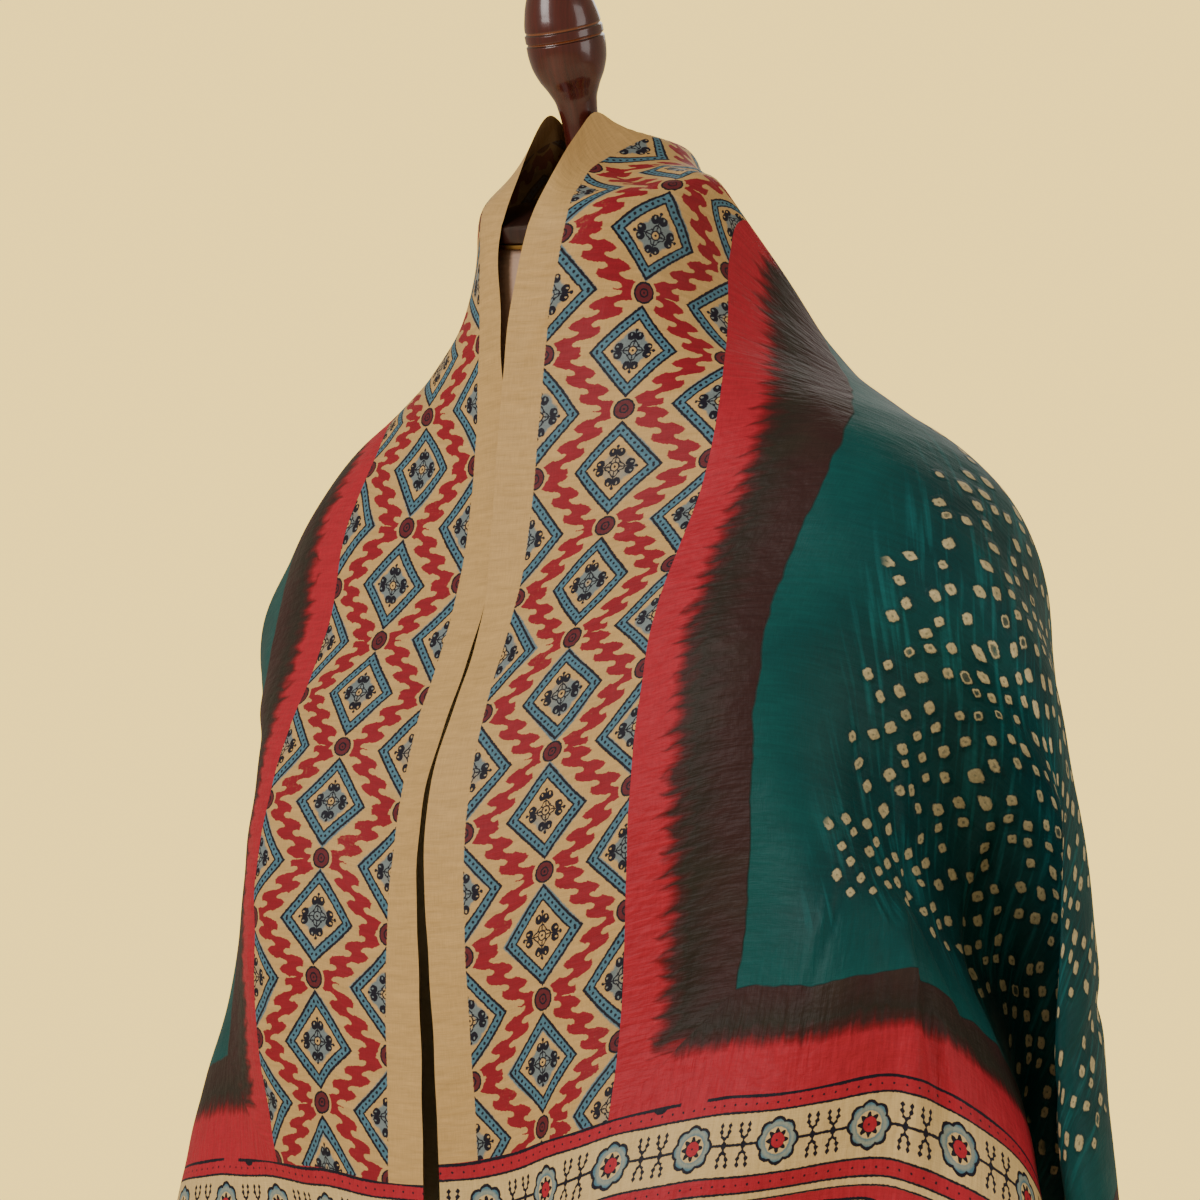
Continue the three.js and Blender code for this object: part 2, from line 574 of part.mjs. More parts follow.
// the form's body, ring on ring, its top level lying under the leaning neck band
function formBody() {
  const around = 40;
  const rows = FORM_ROWS.map((row) => Object.fromEntries(FORM_COLUMNS.map((name, k) => [name, row[k]])));
  const positions = [];
  const ring = (place) => {
    for (let k = 0; k < around; k += 1) positions.push(...place((2 * Math.PI * k) / around));
  };
  for (const { z, middle, halfWidth, halfDepth, power, lean } of rows) {
    const rise = Math.tan(THREE.MathUtils.degToRad(lean));
    ring((a) => {
      const bulge = (Math.abs(Math.cos(a)) ** power + Math.abs(Math.sin(a)) ** power) ** (-1 / power);
      const y = bulge * halfDepth * Math.sin(a);
      return [bulge * halfWidth * Math.cos(a), middle + y, z + y * rise];
    });
  }
  const under = -BAND_DEPTH - 2 * SEAT_GAP;
  ring((a) => [56.6 * Math.cos(a), ...neckPoint(56.6 * Math.sin(a), under)]);
  const rings = rows.length + 1;
  positions.push(0, rows[0].middle, FORM_BOTTOM);
  positions.push(0, ...neckPoint(0, under));
  const index = [];
  for (let r = 0; r < rings - 1; r += 1) {
    for (let k = 0; k < around; k += 1) {
      const [a, b] = [r * around + k, r * around + ((k + 1) % around)];
      index.push(a, b, b + around, a, b + around, a + around);
    }
  }
  for (let k = 0; k < around; k += 1) {
    const next = (k + 1) % around;
    index.push(rings * around, next, k);
    index.push(rings * around + 1, (rings - 1) * around + k, (rings - 1) * around + next);
  }
  return meshOf("form_body", positions, index, 0xcfd6cc, 0.85, 0);
}

// y and z of a point of the neck's leaning disc, side by side of its middle
function neckPoint(side, height) {
  return [
    NECK_TOP[1] + side * Math.cos(NECK_TILT) + height * AXIS[1],
    NECK_TOP[2] + side * Math.sin(NECK_TILT) + height * AXIS[2],
  ];
}

function turned(name, rows, segments, colour, roughness, metalness) {
  const points = rows.map(([height, radius]) => new THREE.Vector2(radius, height));
  points.unshift(new THREE.Vector2(0, rows[0][0]));
  points.push(new THREE.Vector2(0, rows[rows.length - 1][0]));
  const geometry = new THREE.LatheGeometry(points, segments);
  geometry.rotateX(Math.PI / 2);
  return named(name, geometry, colour, roughness, metalness);
}

const neck = new THREE.Group();
neck.position.set(...NECK_TOP);
neck.rotation.x = NECK_TILT;
const bandTop = -SEAT_GAP;
const bandFoot = bandTop - BAND_DEPTH;
const bandRows = [[bandFoot, 58.2], [bandFoot + 0.6, 58.8], [bandTop - 0.6, 58.8], [bandTop, 58.2]];
neck.add(turned("neck_band", bandRows, 36, 0xb08d4a, 0.35, 1));
neck.add(turned("neck_cap", CAP_ROWS, 36, 0x3b1d17, 0.35, 0));
neck.add(turned("finial", FINIAL_ROWS, 24, 0x5a2018, 0.2, 0));

const footTop = FOOT_ROWS[FOOT_ROWS.length - 1][0];
const poleRows = [[footTop + SEAT_GAP, POLE_RADIUS], [FORM_BOTTOM - SEAT_GAP, POLE_RADIUS]];

const dressedForm = new THREE.Group();
dressedForm.add(shawl());
dressedForm.add(formBody());
dressedForm.add(neck);
dressedForm.add(turned("pole", poleRows, 24, 0x3b1d17, 0.4, 0));
dressedForm.add(turned("foot", FOOT_ROWS, 40, 0x3b1d17, 0.4, 0));

export default dressedForm;
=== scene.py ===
import math

import bpy
import numpy as np
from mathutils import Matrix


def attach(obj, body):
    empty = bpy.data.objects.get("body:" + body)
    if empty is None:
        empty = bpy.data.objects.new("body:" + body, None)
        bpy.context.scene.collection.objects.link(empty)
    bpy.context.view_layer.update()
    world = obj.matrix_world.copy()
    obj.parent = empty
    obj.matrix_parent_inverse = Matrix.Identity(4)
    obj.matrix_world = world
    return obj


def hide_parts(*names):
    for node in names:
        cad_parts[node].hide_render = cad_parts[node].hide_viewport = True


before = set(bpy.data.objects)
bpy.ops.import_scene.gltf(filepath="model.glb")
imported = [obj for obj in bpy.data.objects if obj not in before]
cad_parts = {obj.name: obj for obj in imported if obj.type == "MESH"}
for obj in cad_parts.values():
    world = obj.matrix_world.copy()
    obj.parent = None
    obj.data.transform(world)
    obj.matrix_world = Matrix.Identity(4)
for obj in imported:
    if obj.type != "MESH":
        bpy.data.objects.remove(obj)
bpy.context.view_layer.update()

# ---------------------------------------------------------------- studio ----
# A long lens level with the form's chest, turned 41 degrees to the form's left,
# a pale round floor, and large soft lights to the front, the left and above.
STUDIO = bpy.context.scene
VIEW_TURN = math.radians(41)
VIEW_DISTANCE = 2.70
VIEW_HEIGHT = 1.22
RIGHTWARD = np.array([math.cos(VIEW_TURN), math.sin(VIEW_TURN), 0.0])
TOWARD_VIEWER = np.array([math.sin(VIEW_TURN), -math.cos(VIEW_TURN), 0.0])

lens = bpy.data.cameras.new("studio_camera")
lens.lens = 153.9
lens.sensor_width = 36
viewer = bpy.data.objects.new("studio_camera", lens)
viewer.location = TOWARD_VIEWER * VIEW_DISTANCE - RIGHTWARD * 0.030 + np.array([0, 0, VIEW_HEIGHT])
viewer.rotation_euler = (math.radians(90), 0, VIEW_TURN)
STUDIO.collection.objects.link(viewer)
STUDIO.camera = viewer


def soft_light(name, place, aim, size, power, tint):
    """A square area light at place, its face turned to aim."""
    lamp = bpy.data.lights.new(name, "AREA")
    lamp.shape = "RECTANGLE"
    lamp.size, lamp.size_y = size
    lamp.energy = power
    lamp.color = tint
    holder = bpy.data.objects.new(name, lamp)
    holder.location = place
    gap = np.array(place) - np.array(aim)
    flat = math.hypot(gap[0], gap[1])
    holder.rotation_euler = (math.atan2(flat, gap[2]), 0, math.atan2(gap[0], -gap[1]))
    STUDIO.collection.objects.link(holder)


def from_viewer(right, toward, up):
    """A place given as metres to the viewer's right, towards the viewer, and up."""
    return tuple(RIGHTWARD * right + TOWARD_VIEWER * toward + np.array([0, 0, up]))


CHEST = (0, 0, 1.15)
soft_light("key_light", from_viewer(-2.1, 1.7, 2.3), CHEST, (1.3, 1.7), 52, (1.0, 0.97, 0.93))
soft_light("fill_light", from_viewer(2.3, 1.5, 1.7), CHEST, (1.4, 1.9), 19, (1.0, 0.97, 0.94))
soft_light("back_light", from_viewer(0.4, -2.4, 2.6), CHEST, (2.0, 1.4), 16, (1.0, 0.98, 0.95))

surround = bpy.data.worlds.new("surround")
surround.use_nodes = True
surround.node_tree.nodes["Background"].inputs["Color"].default_value = (0.79, 0.665, 0.475, 1)
surround.node_tree.nodes["Background"].inputs["Strength"].default_value = 0.50
backdrop = surround.node_tree.nodes.new("ShaderNodeBackground")
backdrop.inputs["Color"].default_value = (1.0, 0.70, 0.19, 1)
backdrop.inputs["Strength"].default_value = 2.15
sight = surround.node_tree.nodes.new("ShaderNodeLightPath")
seen = surround.node_tree.nodes.new("ShaderNodeMixShader")
surround.node_tree.links.new(sight.outputs["Is Camera Ray"], seen.inputs[0])
surround.node_tree.links.new(surround.node_tree.nodes["Background"].outputs[0], seen.inputs[1])
surround.node_tree.links.new(backdrop.outputs[0], seen.inputs[2])
surround.node_tree.links.new(seen.outputs[0], surround.node_tree.nodes["World Output"].inputs[0])
STUDIO.world = surround


def surface(name, places, faces, smooth=True):
    """A mesh object at the origin from an array of places and a list of each face's corner numbers."""
    mesh = bpy.data.meshes.new(name)
    mesh.from_pydata(np.asarray(places, float).tolist(), [], faces)
    mesh.polygons.foreach_set("use_smooth", np.full(len(mesh.polygons), smooth))
    mesh.update()
    piece = bpy.data.objects.new(name, mesh)
    STUDIO.collection.objects.link(piece)
    return piece


def plain_finish(name, colour, roughness):
    """A material of one Principled BSDF, and the BSDF."""
    finish = bpy.data.materials.new(name)
    finish.use_nodes = True
    shader = finish.node_tree.nodes["Principled BSDF"]
    shader.inputs["Base Color"].default_value = (*colour, 1)
    shader.inputs["Roughness"].default_value = roughness
    return finish, shader


FLOOR_RADIUS = 4.0
around = np.linspace(0, 2 * math.pi, 96, endpoint=False)
floor_rim = np.stack([FLOOR_RADIUS * np.cos(around), FLOOR_RADIUS * np.sin(around), 0 * around], 1)
floor = surface("floor", floor_rim, [list(range(96))])
floor_finish, _ = plain_finish("pale_floor", (0.88, 0.77, 0.56), 0.8)
floor.data.materials.append(floor_finish)

# ----------------------------------------------------------------- shawl ----
# One length of crinkled silk 0.64 x 2.0 m, block printed along its edges and ends,
# tie-dyed teal in the field, standing round the neck and hanging over both shoulders.
ALONG_SPANS = [(0, 168, 12), (168, 420, 11), (420, 1000, 14)]  # from, to, how many, in mm
ACROSS_SPANS = [(0, 22, 2), (22, 71, 3), (71, 120, 3), (120, 290, 6), (290, 640, 10)]
SOLID_THICKNESS = 0.0012
FIRST_CORNER = (-0.003, -0.168, 0.577)   # neck edge at the right end
SECOND_CORNER = (-0.306, 0.081, 0.405)   # far edge at the right end


def span_lines(spans):
    """Grid lines in mm: each span cut evenly, joined end to end."""
    parts = [np.linspace(low, high, count + 1)[1:] for low, high, count in spans]
    return np.concatenate([[spans[0][0]], *parts])


def settled_grid(node, rows, columns):
    """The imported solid's outer face as rows x columns of places. Every square is halved the same way, so steps
    counted over the mesh from two corners of one end give each corner's row and column."""
    mesh = node.data
    corners = np.zeros(len(mesh.vertices) * 3)
    mesh.vertices.foreach_get("co", corners)
    loops = np.zeros(len(mesh.loops), int)
    mesh.loops.foreach_get("vertex_index", loops)
    keys = np.round(corners.reshape(-1, 3) * 1e5).astype(int)
    _, first, same = np.unique(keys, axis=0, return_index=True, return_inverse=True)
    places = corners.reshape(-1, 3)[first]
    faces = same.reshape(-1)[loops].reshape(-1, 3)
    sides = np.linalg.norm(places[faces] - places[np.roll(faces, 1, axis=1)], axis=2)
    faces = faces[sides.min(1) > SOLID_THICKNESS * 2]
    ends = np.concatenate([faces[:, [0, 1]], faces[:, [1, 2]], faces[:, [2, 0]]])
    ends = np.concatenate([ends, ends[:, ::-1]])

    def steps_from(start):
        """Fewest edges from one corner to every other, by letting the count spread one edge at a time."""
        steps = np.full(len(places), 10 ** 6)
        steps[start] = 0
        for _ in range(rows + columns):
            np.minimum.at(steps, ends[:, 1], steps[ends[:, 0]] + 1)
        return steps

    first_start = np.argmin(np.linalg.norm(places - FIRST_CORNER, axis=1))
    one = steps_from(first_start)
    reach = np.where(one < 10 ** 5, np.linalg.norm(places - SECOND_CORNER, axis=1), 9)
    two = steps_from(np.argmin(reach))
    lean = two - (columns - 1)  # row minus column
    row = np.where(lean >= 0, one, one + lean)
    column = row - lean
    grid = np.zeros((rows, columns, 3))
    found = one < 10 ** 5
    grid[row[found], column[found]] = places[found]
    return grid


def curve_weights(lines, wanted):
    """Cubic B-spline weights over the grid lines that give a smooth curve at each wanted distance."""
    count = len(lines)

    def weights_at(t):
        """Weights of four neighbouring lines at each t, with the ends carried on straight."""
        k = np.clip(np.floor(t).astype(int), 0, count - 2)
        f = t - k
        basis = np.stack([(1 - f) ** 3, 3 * f ** 3 - 6 * f ** 2 + 4,
                          -3 * f ** 3 + 3 * f ** 2 + 3 * f + 1, f ** 3], 1) / 6
        table = np.zeros((len(t), count + 2))
        for n in range(4):
            table[np.arange(len(t)), k + n] += basis[:, n]
        table[:, 1] += 2 * table[:, 0]
        table[:, 2] -= table[:, 0]
        table[:, -2] += 2 * table[:, -1]
        table[:, -3] -= table[:, -1]
        return table[:, 1:-1]

    dense = np.linspace(0, count - 1, 40 * count)
    t = np.interp(wanted, weights_at(dense) @ lines, dense)
    return weights_at(t)


half_lines = span_lines(ALONG_SPANS)
along_lines = np.concatenate([-half_lines[:0:-1], half_lines])
across_lines = span_lines(ACROSS_SPANS)
settled = settled_grid(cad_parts["shawl"], len(along_lines), len(across_lines))

fine_along = np.unique(np.concatenate([np.linspace(-1000, -650, 84), np.linspace(-650, 650, 311),
                                       np.linspace(650, 1000, 84)]))
fine_across = np.unique(np.concatenate([np.linspace(0, 22, 7), np.linspace(22, 120, 27),
                                        np.linspace(120, 640, 130)]))
along_weights = curve_weights(along_lines, fine_along)
across_weights = curve_weights(across_lines, fine_across)
drape = np.einsum("ik,kld,jl->ijd", along_weights, settled, across_weights)
U, V = np.meshgrid(fine_across, fine_along)


CREASES = [
    # from u, from v, to u, to v, half width, height (minus is a trough), all mm
    (290, 550, 300, 700, 6, 5.0), (302, 575, 318, 700, 6, -3.4), (243, 545, 231, 618, 2.6, -2.8),
    (237, 550, 225, 640, 4, 2.0), (296, 505, 350, 625, 6, -3.0), (262, 555, 312, 618, 5, 2.2),
    (331, 450, 374, 605, 6, 2.8), (266, 436, 298, 520, 4, 1.8), (345, 470, 395, 600, 7, -1.6),
    (230, 420, 262, 520, 5, -0.9), (40, 175, 96, 150, 4, -1.2), (30, 100, 78, 158, 4, -1.6),
    (50, 92, 96, 142, 5, 1.6), (30, 190, 4, 255, 4, 1.2), (150, 560, 160, 640, 5, 0.8),
    (196, 610, 190, 700, 5, 0.9), (215, 300, 255, 390, 7, -1.0), (170, 250, 196, 350, 8, 1.0),
    (85, -600, 62, -660, 5, 1.2), (120, -520, 96, -640, 6, -1.2), (250, -430, 270, -640, 7, 2.4),
    (300, -420, 330, -660, 7, -2.4), (360, -380, 400, -640, 8, 2.4), (430, -300, 470, -640, 9, -2.6),
    (430, 380, 470, 640, 9, 1.6), (500, 120, 520, 420, 9, -2.4), (480, -60, 500, 260, 9, 2.0),
    (540, -260, 560, 40, 9, 2.2), (320, -40, 480, -20, 7, 1.6), (300, 60, 460, 80, 7, -1.8)]


SLACK = [
    # u, v, reach across, reach along, fall in mm: where the collar sags between its two tips
    (26, 92, 22, 26, 6), (10, 20, 30, 60, 3)]


def slackened(sheet):
    """The sheet let down by bell-shaped dips, each centred on a place of the flat cloth."""
    fall = np.zeros(U.shape)
    for u, v, reach_u, reach_v, depth in SLACK:
        fall += depth * np.exp(-((U - u) / reach_u) ** 2 - ((V - v) / reach_v) ** 2)
    return sheet - fall[:, :, None] * [0, 0, 0.001]


# the leaning disc of the neck's cap, under the collar: its middle, its axis, and its outline
CAP_MIDDLE = np.array([0, -0.047, 1.418])
CAP_AXIS = np.array([0, -math.sin(math.radians(16)), math.cos(math.radians(16))])
CAP_REACH = 0.0592
CAP_OUTLINE = ([0.015, 0.020, 0.027, 0.034, 0.044, 0.051, 0.054, 0.0568, 0.0592],
               [0.0177, 0.0162, 0.0146, 0.0133, 0.0116, 0.0105, 0.0099, 0.0094, 0.0086])
CLOTH_CLEARANCE = 0.0014


def clear_of_cap(sheet):
    """The sheet pushed off the cap: up its axis or out from it, whichever way is nearer."""
    away = sheet - CAP_MIDDLE
    height = away @ CAP_AXIS
    out = away - height[:, :, None] * CAP_AXIS
    reach = np.linalg.norm(out, axis=2)
    up = CLOTH_CLEARANCE - (height - np.interp(reach, *CAP_OUTLINE))
    side = CLOTH_CLEARANCE - (reach - CAP_REACH)
    inside = (up > 0) & (side > 0) & (height > -0.006)
    lifted = sheet + up[:, :, None] * CAP_AXIS
    moved = sheet + (side / np.maximum(reach, 1e-6))[:, :, None] * out
    return np.where(inside[:, :, None], np.where((up < side)[:, :, None], lifted, moved), sheet)


def creased(sheet, out):
    """The sheet moved along its normals by soft ridges and troughs: each falls away as a bell with distance
    from its line on the flat cloth, and fades towards the line's two ends."""
    lift = np.zeros(U.shape)
    for u0, v0, u1, v1, width, height in CREASES:
        long = math.hypot(u1 - u0, v1 - v0)
        run = ((U - u0) * (u1 - u0) + (V - v0) * (v1 - v0)) / long ** 2
        off = ((U - u0) * (v1 - v0) - (V - v0) * (u1 - u0)) / long + 2.2 * np.sin(run * 5 + u0)
        fade = np.clip((0.5 - np.abs(run - 0.5)) * 3.2 + 0.35, 0, 1)
        lift += height * np.exp(-(off / width) ** 2) * fade * fade * (3 - 2 * fade)
    lift += 0.35 * np.sin(V / 7.3 + 2.0 * np.sin(U / 31)) * np.sin(U / 23 + 1.7 * np.sin(V / 41))
    return sheet + out * lift[:, :, None] / 1000


def face_directions(sheet):
    """Unit normals of a grid of places: the cross product of its two running directions."""
    out = np.cross(np.gradient(sheet, axis=0), np.gradient(sheet, axis=1))
    return out / (np.linalg.norm(out, axis=2, keepdims=True) + 1e-12)


drape = slackened(drape)
side_out = face_directions(drape)
if np.mean(side_out[:, 60] * drape[:, 60] * [1, 1, 0]) < 0:
    side_out = -side_out
drape = clear_of_cap(creased(drape, side_out))

rows, columns = U.shape
numbers = np.arange(rows * columns).reshape(rows, columns)
squares = np.stack([numbers[:-1, :-1], numbers[1:, :-1], numbers[1:, 1:], numbers[:-1, 1:]], -1).reshape(-1, 4)
shawl = surface("silk_shawl", drape.reshape(-1, 3), squares.tolist())
place = shawl.data.attributes.new("flat_place", "FLOAT_VECTOR", "POINT")
place.data.foreach_set("vector", np.stack([U, V, 0 * U], -1).ravel())
unwrapped = shawl.data.uv_layers.new(name="OFBake")
loop_numbers = squares.ravel()
unwrapped.data.foreach_set("uv", np.stack([U.ravel()[loop_numbers] / 640,
                                           V.ravel()[loop_numbers] / 2000 + 0.5], -1).ravel())
# Three dye finishes share the flat place of the cloth in mm: u across from the neck edge, v along from the
# middle of the back. The block print, the dyed field and the two printed ends meet on that one chart.
INK = (22, 20, 36)
CREAM = (206, 168, 108)
PALE_CREAM = (222, 192, 134)
MADDER = (180, 38, 54)
SKY = (82, 124, 144)
OLIVE = (44, 38, 32)
TEAL = (0, 80, 80)
DEEP_TEAL = (0, 52, 56)


def dye(tint):
    """A dye's screen colour, 0 to 255, as the linear colour a shader socket takes."""
    share = np.array(tint) / 255
    return (*np.where(share <= 0.04045, share / 12.92, ((share + 0.055) / 1.055) ** 2.4), 1)


class Chart:
    """One number that varies over the flat cloth. Arithmetic on it adds Math nodes to its material."""

    def __init__(self, tree, socket):
        self.tree, self.socket = tree, socket

    def step(self, operation, *others, clamp=False):
        """One Math node on this number and the others, which may be plain values."""
        node = self.tree.nodes.new("ShaderNodeMath")
        node.operation = operation
        node.use_clamp = clamp
        for slot, value in enumerate((self, *others)):
            if isinstance(value, Chart):
                self.tree.links.new(value.socket, node.inputs[slot])
            else:
                node.inputs[slot].default_value = value
        return Chart(self.tree, node.outputs[0])

    def __add__(self, other):
        return self.step("ADD", other)

    def __sub__(self, other):
        return self.step("SUBTRACT", other)

    def __rsub__(self, other):
        return self.step("MULTIPLY_ADD", -1.0, other)

    def __mul__(self, other):
        return self.step("MULTIPLY", other)

    def __abs__(self):
        return self.step("ABSOLUTE")

    __radd__ = __add__
    __rmul__ = __mul__

    def low(self, other):
        """The smaller of the two."""
        return self.step("MINIMUM", other)

    def high(self, other):
        """The larger of the two, which also joins two masks."""
        return self.step("MAXIMUM", other)

    def sine(self):
        """Its sine, in radians."""
        return self.step("SINE")

    def times_plus(self, factor, extra):
        """The number times a factor, plus an extra."""
        return self.step("MULTIPLY_ADD", factor, extra)

    def repeat(self, pitch):
        """Wrapped to lie within half a pitch either side of zero."""
        return self.step("WRAP", pitch / 2, -pitch / 2)

    def reach(self, other):
        """Distance from zero of the pair."""
        return (self * self + other * other).step("POWER", 0.5)

    def angle(self, other):
        """The direction of the pair, in radians."""
        return self.step("ARCTAN2", other)

    def below(self, limit, soft=0.35):
        """1 where the number is under the limit, 0 over it, with an edge soft mm wide."""
        if isinstance(limit, Chart):
            return (limit - self).step("MULTIPLY_ADD", 1 / soft, 0.5, clamp=True)
        return self.step("MULTIPLY_ADD", -1 / soft, limit / soft + 0.5, clamp=True)

    def line(self, at, half, soft=0.35):
        """1 within half a width of a place, as a drawn line."""
        return abs(self - at).below(half, soft)


def flat_chart(tree):
    """u and v of the flat cloth, in mm, and their vector socket."""
    flat = tree.nodes.new("ShaderNodeAttribute")
    flat.attribute_name = "flat_place"
    parts = tree.nodes.new("ShaderNodeSeparateXYZ")
    tree.links.new(flat.outputs["Vector"], parts.inputs[0])
    return Chart(tree, parts.outputs[0]), Chart(tree, parts.outputs[1])


def cloud(u, v, scale_u, scale_v, detail=1.0, seed=0.0):
    """Noise from 0 to 1 over the cloth, its blotches scale_u by scale_v mm, with three unlike channels."""
    tree = u.tree
    joined = tree.nodes.new("ShaderNodeCombineXYZ")
    for slot, value in enumerate((u * (1 / scale_u), v * (1 / scale_v))):
        tree.links.new(value.socket, joined.inputs[slot])
    joined.inputs[2].default_value = seed
    noise = tree.nodes.new("ShaderNodeTexNoise")
    noise.inputs["Scale"].default_value = 1.0
    noise.inputs["Detail"].default_value = detail
    tree.links.new(joined.outputs[0], noise.inputs["Vector"])
    parts = tree.nodes.new("ShaderNodeSeparateColor")
    tree.links.new(noise.outputs["Color"], parts.inputs[0])
    return Chart(tree, noise.outputs[0]), Chart(tree, parts.outputs[1]), Chart(tree, parts.outputs[2])


def lay(tree, under, over, mask):
    """One colour laid on another where the mask is 1. Either colour is a tint or a socket."""
    node = tree.nodes.new("ShaderNodeMix")
    node.data_type = "RGBA"
    tree.links.new(mask.socket, node.inputs[0])
    for slot, value in ((6, under), (7, over)):
        if isinstance(value, tuple):
            node.inputs[slot].default_value = dye(value)
        else:
            tree.links.new(value, node.inputs[slot])
    return node.outputs[2]


def silk_weave():
    """A node group of the silk's surface: uneven threads that lighten and darken it, and the height of
    threads and of fine crinkles, which run across the cloth, or down it where Turn is 1."""
    group = bpy.data.node_groups.new("silk_weave", "ShaderNodeTree")
    for name, kind, way in (("u", "NodeSocketFloat", "INPUT"), ("v", "NodeSocketFloat", "INPUT"),
                            ("Crinkle", "NodeSocketFloat", "INPUT"),
                            ("Turn", "NodeSocketFloat", "INPUT"), ("Tone", "NodeSocketFloat", "OUTPUT"),
                            ("Height", "NodeSocketFloat", "OUTPUT")):
        group.interface.new_socket(name=name, in_out=way, socket_type=kind)
    given = group.nodes.new("NodeGroupInput")
    result = group.nodes.new("NodeGroupOutput")
    u, v, crinkle, turn = (Chart(group, given.outputs[k]) for k in range(4))
    weft, _, _ = cloud(u, v, 9, 0.55, 2, 3)
    warp, _, _ = cloud(u, v, 0.6, 8, 2, 7)
    across, _, _ = cloud(u, v, 22, 2.6, 2, 11)
    down, _, _ = cloud(u, v, 2.6, 22, 2, 12)
    folds = across + (down - across) * turn
    ripple, _, _ = cloud(u, v, 9, 7, 2, 17)
    tone = (weft + warp + folds * 1.4).step("MULTIPLY_ADD", 1 / 3.4, 0.0)
    height = (weft + warp) * 0.12 + (folds * 0.7 + ripple * 1.4) * crinkle
    group.links.new(tone.socket, result.inputs[0])
    group.links.new(height.socket, result.inputs[1])
    return group


WEAVE = silk_weave()


def dyed_silk(u, v, colour, crinkle, turn=0.0, raised=None, reverse=0.62):
    """Finish a silk material: threads vary the colour, crinkles raise it, and the reverse is duller."""
    tree = u.tree
    weave = tree.nodes.new("ShaderNodeGroup")
    weave.node_tree = WEAVE
    for slot, value in enumerate((u, v)):
        tree.links.new(value.socket, weave.inputs[slot])
    for slot, value in ((2, crinkle), (3, turn)):
        if isinstance(value, Chart):
            tree.links.new(value.socket, weave.inputs[slot])
        else:
            weave.inputs[slot].default_value = value
    tone = Chart(tree, weave.outputs[0])
    height = Chart(tree, weave.outputs[1])
    if raised is not None:
        height = height + raised
    shade = tree.nodes.new("ShaderNodeMix")
    shade.data_type = "RGBA"
    shade.blend_type = "MULTIPLY"
    shade.inputs[0].default_value = 1.0
    grey = tree.nodes.new("ShaderNodeCombineColor")
    level = tone.times_plus(1.1, 0.45)
    for slot in range(3):
        tree.links.new(level.socket, grey.inputs[slot])
    tree.links.new(colour, shade.inputs[6])
    tree.links.new(grey.outputs[0], shade.inputs[7])
    back = tree.nodes.new("ShaderNodeNewGeometry")
    turned = Chart(tree, back.outputs["Backfacing"]) * reverse
    worn = lay(tree, shade.outputs[2], (150, 114, 78), turned)
    shader = tree.nodes["Principled BSDF"]
    tree.links.new(worn, shader.inputs["Base Color"])
    rough = tone.times_plus(-0.25, 0.68)
    tree.links.new(rough.socket, shader.inputs["Roughness"])
    shader.inputs["Specular IOR Level"].default_value = 0.22
    shader.inputs["Sheen Weight"].default_value = 0.04
    shader.inputs["Sheen Roughness"].default_value = 0.4
    bump = tree.nodes.new("ShaderNodeBump")
    bump.inputs["Distance"].default_value = 0.001
    bump.inputs["Strength"].default_value = 0.85
    tree.links.new(height.socket, bump.inputs["Height"])
    tree.links.new(bump.outputs[0], shader.inputs["Normal"])


def new_silk(name):
    """A new silk material with its flat chart."""
    finish = bpy.data.materials.new(name)
    finish.use_nodes = True
    u, v = flat_chart(finish.node_tree)
    return finish, u, v


# Block print along the edge: diamonds 48 x 50 mm on a 98 x 63 mm net, each a blue dotted frame round a
# four-petalled flower, with maroon discs at their tips and a leafy red vine winding between them.
BLOCK_PITCH = 63.0
BLOCK_FIRST = 170.0
NET_HALF = 49.0
PRINT_MIDDLE = 71.0
LOBE_PITCH = 13.6


